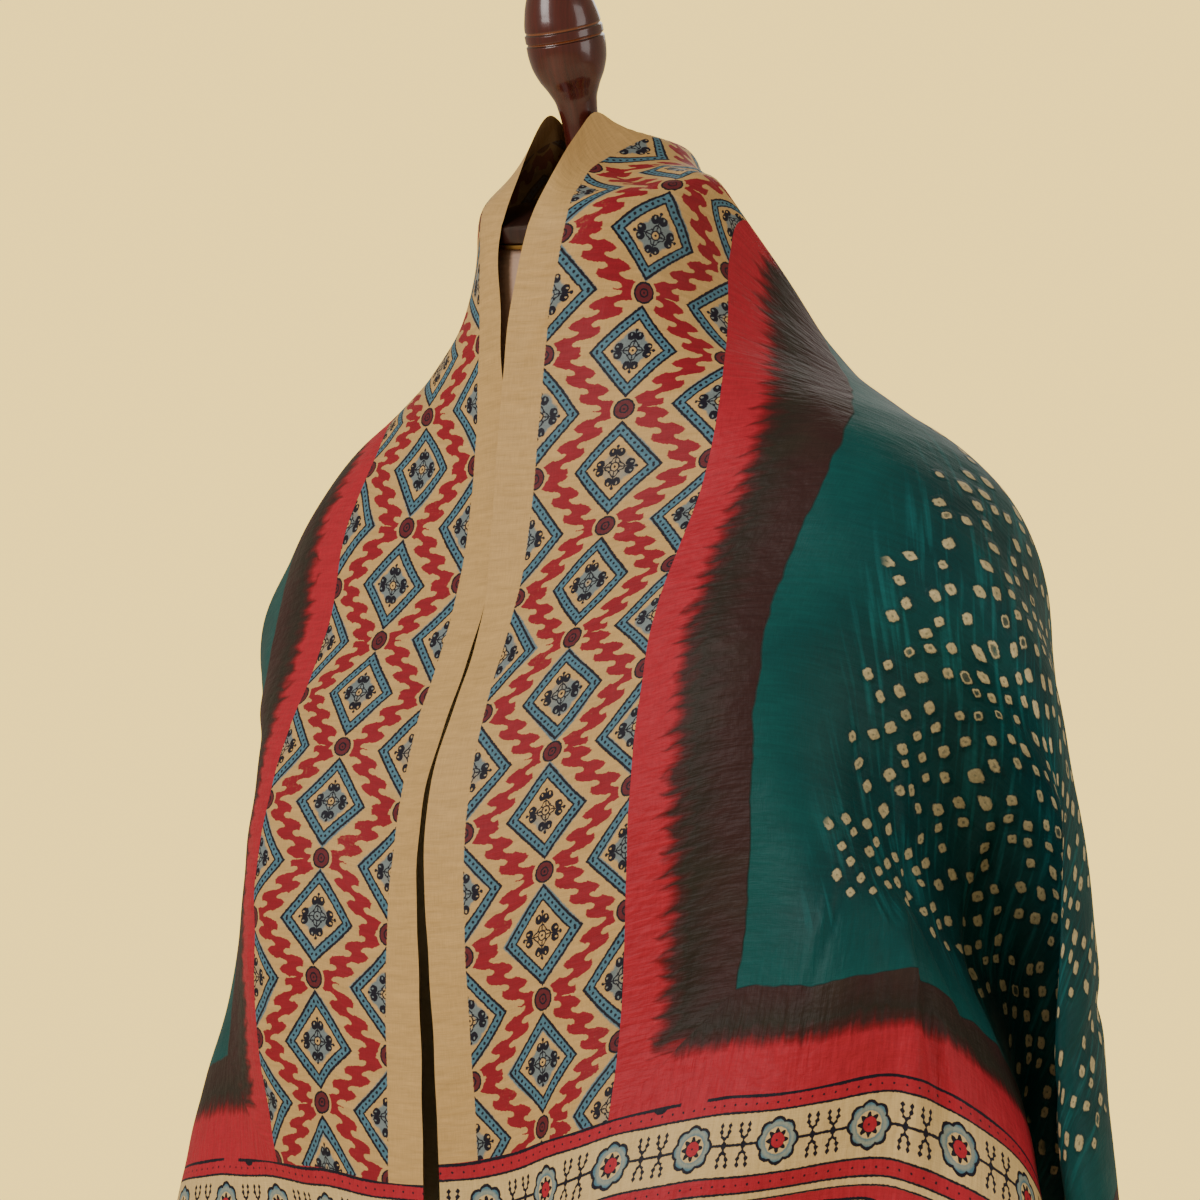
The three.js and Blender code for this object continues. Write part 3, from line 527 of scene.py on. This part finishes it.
def block_print():
    """The edge print as one material: the net repeats along v, and every motif is a distance on it."""
    finish, u, v = new_silk("block_print")
    tree = finish.node_tree
    slow, slow_v, patch = cloud(u, v, 38, 38, 0, 1)
    quick, quick_v, _ = cloud(u, v, 1.5, 1.5, 1, 2)
    across = u - PRINT_MIDDLE + (slow - 0.5) * 3.4 + (quick - 0.5) * 0.9
    along = (v - BLOCK_FIRST + (slow_v - 0.5) * 3.4 + (quick_v - 0.5) * 1.1).repeat(BLOCK_PITCH)
    a = abs(across)
    b = abs(along)
    a2 = abs(a - NET_HALF)
    b2 = abs(b - BLOCK_PITCH / 2)
    inner = 17.3 - (a * 0.7208 + b * 0.692)      # depth inside the middle diamonds
    outer = 17.3 - (a2 * 0.7208 + b2 * 0.692)    # and inside the diamonds cut by the band's edges
    depth = inner.high(outer)
    chosen = (outer - inner).below(0, 0.02)
    da = a2 + (a - a2) * chosen
    db = b2 + (b - b2) * chosen
    run = (da * 0.692 - db * 0.7208).repeat(3.3)
    ring = da.reach(db)
    petal = (da.angle(db) * 4).step("COSINE")
    # red vine: a zigzag between the diamonds, with leafy lobes and comma-shaped bites from either side
    side = (a + b * 0.96 - 39.6) * 0.721
    lean = side.step("SIGN")
    reach = abs(side)
    way = along * 1.387 + across.step("SIGN") * 2.2 + lean * 3.4
    hook = (way - reach * 0.18).repeat(LOBE_PITCH)
    lobe = reach.below((hook * 0.462).step("COSINE") * -1.5 + 5.9, 0.5)
    bite = (hook - 0.6).reach(reach - 3.3).below(2.35)
    comma = bite.high(abs(hook + 1.6 + (reach - 4.6) * 0.9).below(1.0) * (3.4 - reach).below(0))
    between = (hook - LOBE_PITCH / 2).repeat(LOBE_PITCH)
    leaf = between.reach(reach - 5.6).below(2.2) * (1 - between.reach(reach - 7.2).below(0.8))
    disc_ring = a.reach(b2).low(a2.reach(b))
    vine = lobe.high(leaf) * depth.below(-3.7) * (1 - comma) * (7.2 - disc_ring).below(0)
    # frame, dots, and a flower with a forked leaf towards each corner
    band = depth.line(2.9, 2.1, 0.5)
    shifted = (depth + (patch - 0.5) * 4.5).line(2.4, 2.6, 0.8)
    lines = depth.line(0.4, 0.68).high(depth.line(5.1, 0.52))
    dots = run.reach(depth - 2.7).below(0.78)
    far = da.high(db)
    near = da.low(db)
    leaves = (far - 8.0).reach((near - 2.1) * 1.05).below(2.4)
    slit = (far - 8.8).reach((near - 2.3) * 1.5).below(0.75)
    bud = (far - 11.4).reach(near).below(0.9).high(near.below(0.4) * far.line(7.5, 3.2))
    heart = ring.line(petal * 0.9 + 4.4, 0.42).high(ring.line(2.3, 0.4)).high(ring.below(0.7))
    petals = abs((da.angle(db) * 4).step("SINE")).below(0.42, 0.3) * ring.line(3.3, 1.0)
    flower = (leaves * (1 - slit)).high(bud).high(heart).high(petals) * (5.9 - depth).below(0)
    fill = (ring + (slow - 0.5) * 5 - far * 0.45).line(3.4, 2.2, 0.8)
    fill = fill * (patch + slow * 0.8).below(1.15, 0.3) * (5.4 - depth).below(0)
    discs = disc_ring.below(5.3)
    disc_lines = disc_ring.line(5.2, 0.5).high(disc_ring.line(2.1, 0.4)).high(disc_ring.below(0.6))
    printed = (22.6 - u + (quick - 0.5) * 0.9).below(0, 0.5)
    colour = lay(tree, CREAM, (150, 30, 44), vine * printed * ((quick_v + patch).below(1.42, 0.25) * 0.2 + 0.8))
    colour = lay(tree, colour, SKY, band.high(shifted * 0.9).high(fill * 0.8) * printed)
    colour = lay(tree, colour, (104, 36, 44), discs * printed)
    worn = (quick + slow * 0.3).below(1.05, 0.35) * 0.2 + 0.8
    colour = lay(tree, colour, INK, lines.high(dots).high(flower).high(disc_lines) * printed * worn)
    dyed_silk(u, v, colour, 0.45)
    return finish


# Dyed field: madder bleeding through olive brown into teal, then rows of dots that were pinched and tied
# before the cloth was dipped, so they stay cream with a speck of dye at their heart.
FIELD_START = 120.0
FIELD_END = 650.0
DOT_PITCH = 13.4


def dyed_field():
    """The dyed field as one material: how far the dye has soaked in from three sides picks its colour from a
    ramp, and rows of small tied rings are laid over the teal."""
    finish, u, v = new_silk("dyed_field")
    tree = finish.node_tree
    long = abs(v)
    from_print = u - FIELD_START
    from_end = (FIELD_END - long) * 1.25
    from_far = (640 - u) * 1.3 + 6.5
    frame_in = from_print.low(from_end).low(from_far)
    streak_u, _, _ = cloud(u, v, 30, 3.0, 2, 21)
    streak_v, _, _ = cloud(u, v, 3.0, 30, 2, 22)
    along_edge = (from_end - from_print).below(0, 1.0)
    streak = streak_u + (streak_v - streak_u) * along_edge
    spur_u, spur_v, _ = cloud(u, v, 15, 15, 1, 23)
    way = v + (u - v) * along_edge
    scallop = abs((way * 0.31 + (spur_u - 0.5) * 5 + u * 0.03).step("SINE")).step("POWER", 0.6)
    soaked = ((from_print + 13).low(from_end).low(from_far) - scallop * (6.5 - along_edge * 6.0)
              - (streak - 0.5) * 11 - (spur_u - 0.5) * 8)
    ramp = tree.nodes.new("ShaderNodeValToRGB")
    tree.links.new(soaked.step("MULTIPLY_ADD", 1 / 70, 0.0, clamp=True).socket, ramp.inputs[0])
    stops = ramp.color_ramp.elements
    stops[0].position, stops[0].color = 0.38, dye(MADDER)
    stops[1].position, stops[1].color = 0.86, dye((58, 34, 34))
    for at, tint in ((0.44, (128, 24, 34)), (0.50, (66, 30, 30)), (0.60, OLIVE)):
        stop = stops.new(at)
        stop.color = dye(tint)
    rim = frame_in + (spur_v - 0.5) * 5
    in_teal = (65 - rim).below(0, 1.2)
    haze, haze_v, _ = cloud(u, v, 60, 40, 2, 24)
    vein, _, _ = cloud(u - abs(v) * 0.45, v, 4.5, 60, 2, 27)
    depth = (rim - 62).step("MULTIPLY_ADD", 1 / 60, -0.1, clamp=True) * 0.7 + (haze - 0.5) * 1.2
    teal = lay(tree, TEAL, DEEP_TEAL, depth.step("ADD", 0.0, clamp=True))
    glint = (0.60 - vein).below(0, 0.16) * (105 - frame_in).below(0, 20)
    teal = lay(tree, teal, (16, 112, 116), glint * 0.55)
    olive_wash = (haze_v - 0.52).step("MULTIPLY_ADD", 5.0, 0.0, clamp=True)
    browns = lay(tree, ramp.outputs[0], (50, 50, 40), olive_wash * (38 - soaked).below(0, 8) * 0.6)
    colour = lay(tree, browns, teal, in_teal)
    # tied dots on a leaning net
    s = (u + v) * 0.7071
    t = (u - v) * 0.7071
    joined = tree.nodes.new("ShaderNodeCombineXYZ")
    warp_u, warp_v, _ = cloud(u, v, 45, 45, 1, 25)
    for slot, value in enumerate((s + (warp_u - 0.5) * 16, t + (warp_v - 0.5) * 16)):
        tree.links.new((value * (1 / DOT_PITCH)).socket, joined.inputs[slot])
    cells = tree.nodes.new("ShaderNodeTexVoronoi")
    cells.voronoi_dimensions = "2D"
    cells.distance = "MINKOWSKI"
    cells.inputs["Exponent"].default_value = 3.2
    cells.inputs["Scale"].default_value = 1.0
    cells.inputs["Randomness"].default_value = 0.40
    tree.links.new(joined.outputs[0], cells.inputs["Vector"])
    ragged, ragged_v, _ = cloud(u, v, 1.8, 1.8, 1, 28)
    away = Chart(tree, cells.outputs["Distance"]) * DOT_PITCH + (ragged - 0.5) * 1.5
    parts = tree.nodes.new("ShaderNodeSeparateColor")
    tree.links.new(cells.outputs["Color"], parts.inputs[0])
    luck, chance, third = (Chart(tree, parts.outputs[k]) for k in range(3))
    # whether the dot's middle lies past the plain teal, so that none is cut through
    middle = tree.nodes.new("ShaderNodeSeparateXYZ")
    tree.links.new(cells.outputs["Position"], middle.inputs[0])
    ms, mt = Chart(tree, middle.outputs[0]), Chart(tree, middle.outputs[1])
    dot_u = (ms + mt) * (DOT_PITCH * 0.7071) - (warp_u + warp_v - 1) * 11.3
    dot_v = (ms - mt) * (DOT_PITCH * 0.7071) - (warp_u - warp_v) * 11.3
    dot_in = (dot_u - FIELD_START).low((FIELD_END - abs(dot_v)) * 1.25).low((640 - dot_u) * 1.3 + 6.5)
    zigzag = abs(dot_v.repeat(74)) * 0.5
    zone = (108 + zigzag - dot_in).below(0, 1.0) * (0.09 - chance).below(0, 0.01)
    dot_size = luck * 0.9 + 2.4
    tied = away.below(dot_size, 0.7) * zone
    halo = away.below(dot_size + 1.2, 1.6) * zone
    speck = (away + (ragged_v - 0.5) * 3.0).below(0.5, 0.9)
    hollow = third.below(0.05, 0.02) * away.below(dot_size - 1.0, 0.6)
    colour = lay(tree, colour, (0, 44, 48), halo * 0.45)
    kept_pale = (ragged_v * 0.5 + 0.62).step("ADD", 0.0, clamp=True)
    colour = lay(tree, colour, (206, 190, 146), tied * (1 - hollow * 0.85) * (1 - speck * 0.55) * kept_pale)
    pucker = away.below(3.6, 3.4) * zone * 0.9
    crinkle = (1 - in_teal) * 0.75 + 0.45
    dyed_silk(u, v, colour, crinkle, along_edge, pucker)
    return finish


# Printed ends: a row of scalloped flowers and branching twigs on cream between two dotted red stripes,
# then a madder panel of ringed roundels.
END_START = 650.0
FLOWER_PITCH = 50.0
ROUNDEL_PITCH = 106.0


def printed_end():
    """The printed end as one material: stripes at set distances past the field, then a row of flowers."""
    finish, u, v = new_silk("printed_end")
    tree = finish.node_tree
    slow, slow_v, patch = cloud(u, v, 38, 38, 0, 31)
    quick, quick_v, _ = cloud(u, v, 1.5, 1.5, 1, 32)
    e = abs(v) - END_START + (slow - 0.5) * 2.6 + (quick - 0.5) * 0.9
    x = u + (slow_v - 0.5) * 3 + (quick_v - 0.5) * 0.9
    red = e.below(8.2, 0.5).high(e.line(43.6, 3.6, 0.5))
    cream = e.line(24.0, 15.6, 0.5).high(e.line(49.4, 2.0, 0.5))
    stripe_dots = x.repeat(6.4).reach((e - 4.6).low(99)).below(0.6).high(x.repeat(6.4).reach(e - 43.6).below(0.6))
    gap = (x - 172).line(0, 8, 0.8)
    blot = (x - 152).reach((e - 0.8) * 1.6).below(4.2) * (x - 158).below(0)
    edges = (e.line(0.7, 0.85) * (1 - gap)).high(blot)
    edges = edges.high(e.line(8.5, 0.6)).high(e.line(39.6, 0.6)).high(e.line(47.6, 0.6)).high(e.line(51.8, 0.5))
    fx = (x - 26).repeat(FLOWER_PITCH)
    fy = e - 24.0
    ring = fx.reach(fy)
    turn = fx.angle(fy)
    scallop = abs((turn * 4).step("COSINE")) * 1.5 + 9.9
    star = (turn * 8).step("COSINE") * 1.1 + 5.2
    outline = abs(ring - scallop).below(0.8)
    mid = abs(fx)
    twig = abs(abs(mid - FLOWER_PITCH / 2) - 5.6)
    rise = abs(fy)
    fork = (rise - 3.4).step("MULTIPLY_ADD", 1 / 3.2, 0.0, clamp=True).step("POWER", 0.5) * 2.4
    barb = (rise * 2.1).sine() * 0.4 + 1.05 - rise * 0.03
    branches = abs(twig - fork).below(barb) * rise.below(11.2)
    stem = fy.line(0, 0.75) * (scallop - ring).below(0)
    ink = branches.high(stem) * (scallop - ring).below(0) * e.line(24, 14)
    petals = ring.below(scallop)
    pale = abs(ring - 8.4 + (patch - 0.5) * 3).below(1.2, 1.6)
    # roundels on the panel
    rx = (x - 52).repeat(ROUNDEL_PITCH)
    ry = (e - 106).repeat(ROUNDEL_PITCH)
    roundel = rx.reach(ry)
    arc = (rx.angle(ry) * 8.0)
    rosette = roundel + (arc.step("COSINE")) * 1.2
    rings = tree.nodes.new("ShaderNodeValToRGB")
    rings.color_ramp.interpolation = "CONSTANT"
    tree.links.new((rosette * (1 / 52)).step("ADD", 0.0, clamp=True).socket, rings.inputs[0])
    stops = rings.color_ramp.elements
    stops[0].position, stops[0].color = 0.0, dye(MADDER)
    stops[1].position, stops[1].color = 0.95, dye(MADDER)
    for at, tint in ((0.10, INK), (0.12, PALE_CREAM), (0.20, INK), (0.22, SKY), (0.36, INK), (0.38, CREAM),
                     (0.46, INK), (0.48, MADDER), (0.66, INK), (0.68, SKY), (0.78, INK), (0.80, CREAM), (0.92, INK)):
        stop = stops.new(at)
        stop.color = dye(tint)
    beads = (rx.angle(ry) * 38).repeat(6.0)
    bead_ring = beads.reach(roundel - 38).below(1.0)
    sprig = ((rx.angle(ry) * 6).step("COSINE") * 3 + 3.4).high(0.4)
    sprigs = abs(roundel - 29.6).below(sprig, 0.6)
    panel = (52.2 - e).below(0, 0.4)
    base = lay(tree, PALE_CREAM, MADDER, red)
    base = lay(tree, base, PALE_CREAM, cream)
    base = lay(tree, base, rings.outputs[0], panel)
    base = lay(tree, base, PALE_CREAM, sprigs * panel * 0.9)
    base = lay(tree, base, SKY, petals)
    base = lay(tree, base, (176, 176, 150), petals * pale * 0.6)
    base = lay(tree, base, PALE_CREAM, ring.below(6.7, 0.6))
    base = lay(tree, base, INK,
               ring.below(star).high(outline).high(ink).high(edges).high(stripe_dots).high(bead_ring * panel))
    base = lay(tree, base, MADDER, (fx - 0.4).reach(fy).below(3.7))
    base = lay(tree, base, INK, ring.below(0.6))
    # the last stripe before the cut end
    hem = abs(v) - 962
    base = lay(tree, base, PALE_CREAM, hem.line(18, 18, 0.5))
    base = lay(tree, base, MADDER, hem.line(9, 5, 0.5))
    base = lay(tree, base, INK, hem.line(0, 0.7).high(hem.line(3.6, 0.6)).high(hem.line(14.4, 0.6)))
    dyed_silk(u, v, base, 0.7, 1.0)
    return finish

for finish in (block_print(), dyed_field(), printed_end()):
    shawl.data.materials.append(finish)
middle_u = (U[:-1, :-1] + U[1:, 1:]).ravel() / 2
middle_v = np.abs(V[:-1, :-1] + V[1:, 1:]).ravel() / 2
dye_number = np.where(middle_v > FIELD_END, 2, np.where(middle_u > FIELD_START, 1, 0))
shawl.data.polygons.foreach_set("material_index", dye_number)
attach(shawl, "root")
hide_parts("shawl")

# ------------------------------------------------------------- form body ----
# The headless dress form under the shawl: a moulded torso in a pale knitted cover,
# seamed at its sides and drawn flat under its hem. Rows run from the hem to the neck.
FORM_ROWS = np.array([
    # height, middle, half width, half depth, power of the outline, lean in degrees
    [790, 2, 173, 121, 2.6, 0], [850, 2, 178, 125, 2.6, 0], [900, 2, 174, 122, 2.6, 0], [980, -5, 144, 104, 2.6, 0],
    [1030, -9, 136, 107, 2.6, 0], [1060, -14, 144, 116, 2.6, 0], [1090, -18, 158, 124, 2.6, 0],
    [1120, -16, 174, 130, 2.6, 0], [1150, -10, 190, 130, 2.6, 0], [1185, -6, 214, 118, 2.6, 0],
    [1220, -4, 226, 107, 2.6, 0], [1250, -3, 220, 102, 2.6, 0], [1275, 0, 200, 101, 2.6, 0],
    [1300, -8, 168, 90, 2.6, 0], [1325, -20, 122, 77, 2.6, 0], [1350, -32, 76, 66, 2.4, 4],
    [1375, -40, 60, 60, 2.2, 10], [1400, -44, 57, 57, 2, 14]])
COVER_INSET = 1.2
NECK_TILT = math.radians(16)
NECK_TOP = np.array([0, -47, 1418])


def smooth_rows(rows, wanted):
    """Rows of a table at wanted keys: cubics between rows, each with the slope of its neighbours, held
    level where the values turn so that none overshoots."""
    keys = rows[:, 0]
    slopes = np.diff(rows, axis=0) / np.diff(keys)[:, None]
    same = slopes[:-1] * slopes[1:] > 0
    inner = np.where(same, 2 * slopes[:-1] * slopes[1:] / np.where(same, slopes[:-1] + slopes[1:], 1), 0)
    slopes = np.concatenate([slopes[:1], inner, slopes[-1:]])
    k = np.clip(np.searchsorted(keys, wanted, side="right") - 1, 0, len(keys) - 2)
    step = (keys[k + 1] - keys[k])[:, None]
    t = (wanted[:, None] - keys[k][:, None]) / step
    return ((2 * t ** 3 - 3 * t ** 2 + 1) * rows[k] + (t ** 3 - 2 * t ** 2 + t) * step * slopes[k]
            + (3 * t ** 2 - 2 * t ** 3) * rows[k + 1] + (t ** 3 - t ** 2) * step * slopes[k + 1])


def ring_faces(rings, around):
    """Squares between rings of corners numbered ring by ring, facing outwards."""
    lower = np.arange((rings - 1) * around).reshape(rings - 1, around)
    beside = np.roll(lower, -1, axis=1)
    return np.stack([lower, beside, beside + around, lower + around], -1).reshape(-1, 4).tolist()


def closed_rings(name, places, around):
    """A closed object from rings of places, its two end rings filled."""
    rings = len(places) // around
    faces = ring_faces(rings, around)
    faces += [list(range(around))[::-1], list(range((rings - 1) * around, rings * around))]
    return surface(name, places, faces)


def torso(around=120):
    """Superellipse levels: each point is the level's half width and half depth times the outline's reach
    at that angle, leaning forward with height near the neck, closed by a leaning disc under the neck."""
    heights = np.concatenate([[790, 790.6, 792, 795], np.linspace(800, 1400, 121)])
    height, middle, width, depth, power, lean = smooth_rows(FORM_ROWS, heights).T[:, :, None]
    hem = np.array([5.0, 2.2, 0.8, 0.2] + [0.0] * 121)[:, None] + COVER_INSET
    angle = np.linspace(0, 2 * np.pi, around, endpoint=False)[None, :]
    reach = (np.abs(np.cos(angle)) ** power + np.abs(np.sin(angle)) ** power) ** (-1 / power)
    forward = reach * (depth - hem) * np.sin(angle)
    places = np.stack([reach * (width - hem) * np.cos(angle), middle + forward,
                       height + forward * np.tan(np.radians(lean))], -1)
    sideways = 55.4 * np.sin(angle[0])
    under = -3.9
    disc = np.stack([55.4 * np.cos(angle[0]),
                     NECK_TOP[1] + sideways * math.cos(NECK_TILT) - under * math.sin(NECK_TILT),
                     NECK_TOP[2] + sideways * math.sin(NECK_TILT) + under * math.cos(NECK_TILT)], -1)
    return np.concatenate([places.reshape(-1, 3), disc]) / 1000


def object_chart(tree):
    """x, y and z of the piece, in mm."""
    place = tree.nodes.new("ShaderNodeTexCoord")
    grown = tree.nodes.new("ShaderNodeVectorMath")
    grown.operation = "SCALE"
    grown.inputs["Scale"].default_value = 1000
    tree.links.new(place.outputs["Object"], grown.inputs[0])
    parts = tree.nodes.new("ShaderNodeSeparateXYZ")
    tree.links.new(grown.outputs[0], parts.inputs[0])
    return [Chart(tree, parts.outputs[k]) for k in range(3)]


def raise_by(tree, height, strength=0.7):
    """Bump the material's shader by a height in mm."""
    bump = tree.nodes.new("ShaderNodeBump")
    bump.inputs["Distance"].default_value = 0.001
    bump.inputs["Strength"].default_value = strength
    tree.links.new(height.socket, bump.inputs["Height"])
    tree.links.new(bump.outputs[0], tree.nodes["Principled BSDF"].inputs["Normal"])


body = closed_rings("cover_jersey", torso(), 120)
jersey, jersey_shader = plain_finish("jersey", dye((206, 208, 184))[:3], 0.85)
x, y, z = object_chart(jersey.node_tree)
wale = (x.angle(y + 10) * 420).sine() * 0.05 + (z * 2.6).sine() * 0.04
seam = abs(y + 10).below(1.0, 1.0) * 0.7 - abs(y + 10).below(0.4, 0.5) * 0.6
lint, shade, _ = cloud(x, z, 14, 14, 3, 41)
tones = lay(jersey.node_tree, (212, 213, 190), (190, 186, 160), (shade * 0.6) + seam * 0.3)
# painted shade and painted reflection: above 1335 mm the cover turns pinkish brown, standing in for the shadow under
# the shawl and the warm light thrown from it
tones = lay(jersey.node_tree, tones, (190, 150, 128), (1335 - z).below(0, 50) * 0.85)
jersey.node_tree.links.new(tones, jersey_shader.inputs["Base Color"])
jersey_shader.inputs["Sheen Weight"].default_value = 0.2
raise_by(jersey.node_tree, wale + seam + lint * 0.25)
body.data.materials.append(jersey)
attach(body, "root")
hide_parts("form_body")

# ------------------------------------------------------- neck and finial ----
# A thin brass ring, a turned dark wooden cap and a tall turned finial close the neck.
# All three lean forward with it; the finial is lacquered and cut with two grooves.
BAND_ROWS = np.array([[-3.0, 57.6], [-2.7, 58.4], [-2.0, 58.75], [-1.2, 58.75], [-0.5, 58.4], [-0.3, 57.6]])
CAP_ROWS = np.array([[0, 57.6], [0.4, 58.5], [1.2, 59], [4.2, 59.2], [7.4, 59], [8.6, 58.5], [9.4, 56.8],
                     [9.9, 54], [10.5, 51], [11.6, 44], [13.3, 34], [14.6, 27], [16.2, 20], [17.7, 15]])
FINIAL_ROWS = np.array([[18, 13.2], [18.4, 13.9], [19.2, 14], [21, 13], [27, 10.6], [38, 9.7], [50, 9.5],
                        [62, 10.7], [69, 13.4], [76, 17.2], [84, 19.8], [91, 20.5], [94.0, 20.5], [94.5, 19.8],
                        [95.0, 19.5], [95.5, 19.9], [96, 20.4], [99.6, 20.4], [100.2, 19.8], [100.8, 19.3],
                        [101.4, 19.7], [102, 19.9], [110, 18.6], [118, 16.2], [125.5, 12.4], [130.5, 8.2],
                        [133, 4.8], [134, 2.2]])
FLOOR_ROWS = np.array([[0, 158], [0.5, 160], [2, 163], [4.5, 164.6], [8, 165], [11, 164.4], [13.5, 162],
                       [15.5, 159.5], [17, 156], [18.5, 146], [22, 120], [27, 70], [31, 35], [33, 29],
                       [35, 28], [37, 27], [39, 24], [44, 22.4], [51.4, 22], [52, 21.2]])


def turned(name, rows, around, steps, tilt=0.0, foot=(0, 0, 0)):
    """A profile of height and radius swept round its axis, leaned by tilt about x and set on foot."""
    heights = np.unique(np.concatenate([np.linspace(rows[0, 0], rows[-1, 0], steps), rows[:, 0]]))
    height, radius = smooth_rows(rows, heights).T[:, :, None]
    angle = np.linspace(0, 2 * np.pi, around, endpoint=False)[None, :]
    side = radius * np.sin(angle)
    places = np.stack([radius * np.cos(angle), side * math.cos(tilt) - height * math.sin(tilt),
                       side * math.sin(tilt) + height * math.cos(tilt)], -1) + np.array(foot)
    piece = closed_rings(name, places.reshape(-1, 3) / 1000, around)
    up = piece.data.attributes.new("turned_place", "FLOAT_VECTOR", "POINT")
    flat = np.stack([height + 0 * angle, radius + 0 * angle, angle + 0 * height], -1)
    up.data.foreach_set("vector", flat.ravel())
    return piece


def turned_wood(name, light, dark, rough, coat, grooves=()):
    """Wood with streaks along the axis, its groove edges worn lighter."""
    finish, shader = plain_finish(name, dye(light)[:3], rough)
    tree = finish.node_tree
    given = tree.nodes.new("ShaderNodeAttribute")
    given.attribute_name = "turned_place"
    parts = tree.nodes.new("ShaderNodeSeparateXYZ")
    tree.links.new(given.outputs["Vector"], parts.inputs[0])
    height = Chart(tree, parts.outputs[0])
    x, y, z = object_chart(tree)
    streak, streak_2, _ = cloud(x * 1.0 + y * 0.3, z, 2.2, 34, 3, 51)
    blotch, _, _ = cloud(x + y, z, 30, 50, 2, 52)
    grain = streak * 0.75 + blotch * 0.45
    colour = lay(tree, dark, light, (grain - 0.3).step("MULTIPLY_ADD", 1.7, 0.0, clamp=True))
    for place in grooves:
        colour = lay(tree, colour, (150, 84, 44), height.line(place, 0.5, 0.5) * 0.75)
        colour = lay(tree, colour, (24, 8, 6), height.line(place - 0.7, 0.25, 0.5))
    tree.links.new(colour, shader.inputs["Base Color"])
    tree.links.new((streak_2 * 0.12 + (rough - 0.06)).socket, shader.inputs["Roughness"])
    shader.inputs["Coat Weight"].default_value = coat
    shader.inputs["Coat Roughness"].default_value = 0.08
    raise_by(tree, streak * 0.10 + blotch * 0.2, 0.5)
    return finish


band = turned("brass_ring", BAND_ROWS, 128, 12, NECK_TILT, NECK_TOP)
brass, brass_shader = plain_finish("brass", (0.62, 0.40, 0.16), 0.32)
brass_shader.inputs["Metallic"].default_value = 1.0
x, y, z = object_chart(brass.node_tree)
tarnish, brushed, _ = cloud(x.angle(y + 47) * 60, z, 12, 0.5, 3, 61)
metal = lay(brass.node_tree, (206, 164, 92), (128, 88, 44), tarnish * 0.8)
brass.node_tree.links.new(metal, brass_shader.inputs["Base Color"])
brass.node_tree.links.new((brushed * 0.2 + 0.25).socket, brass_shader.inputs["Roughness"])
raise_by(brass.node_tree, brushed * 0.05, 0.4)
band.data.materials.append(brass)
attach(band, "root")
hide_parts("neck_band")

cap = turned("wooden_cap", CAP_ROWS, 128, 40, NECK_TILT, NECK_TOP)
cap.data.materials.append(turned_wood("cap_wood", (58, 28, 22), (26, 12, 10), 0.36, 0.35))
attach(cap, "root")
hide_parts("neck_cap")

knob = turned("turned_finial", FINIAL_ROWS, 96, 150, NECK_TILT, NECK_TOP)
knob.data.materials.append(turned_wood("lacquered_wood", (92, 30, 26), (48, 14, 13), 0.26, 0.6, grooves=(95.2, 101.0)))
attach(knob, "root")
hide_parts("finial")

# ----------------------------------------------------------------- stand ----
# A straight wooden pole let into a round, weighted, turned wooden foot on the floor.
# Both are plain pieces of the usual kind, as a shop's dress form has them.
POLE_ROWS = np.array([[52.3, 12.4], [52.8, 12.9], [54, 13], [420, 13], [788, 13], [789.2, 12.9], [789.7, 12.4]])
pole = turned("wooden_pole", POLE_ROWS, 64, 60)
stand_wood = turned_wood("stand_wood", (70, 32, 22), (34, 15, 11), 0.38, 0.4)
pole.data.materials.append(stand_wood)
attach(pole, "root")
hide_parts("pole")

foot = turned("wooden_foot", FLOOR_ROWS, 144, 60)
foot.data.materials.append(stand_wood)
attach(foot, "root")
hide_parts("foot")
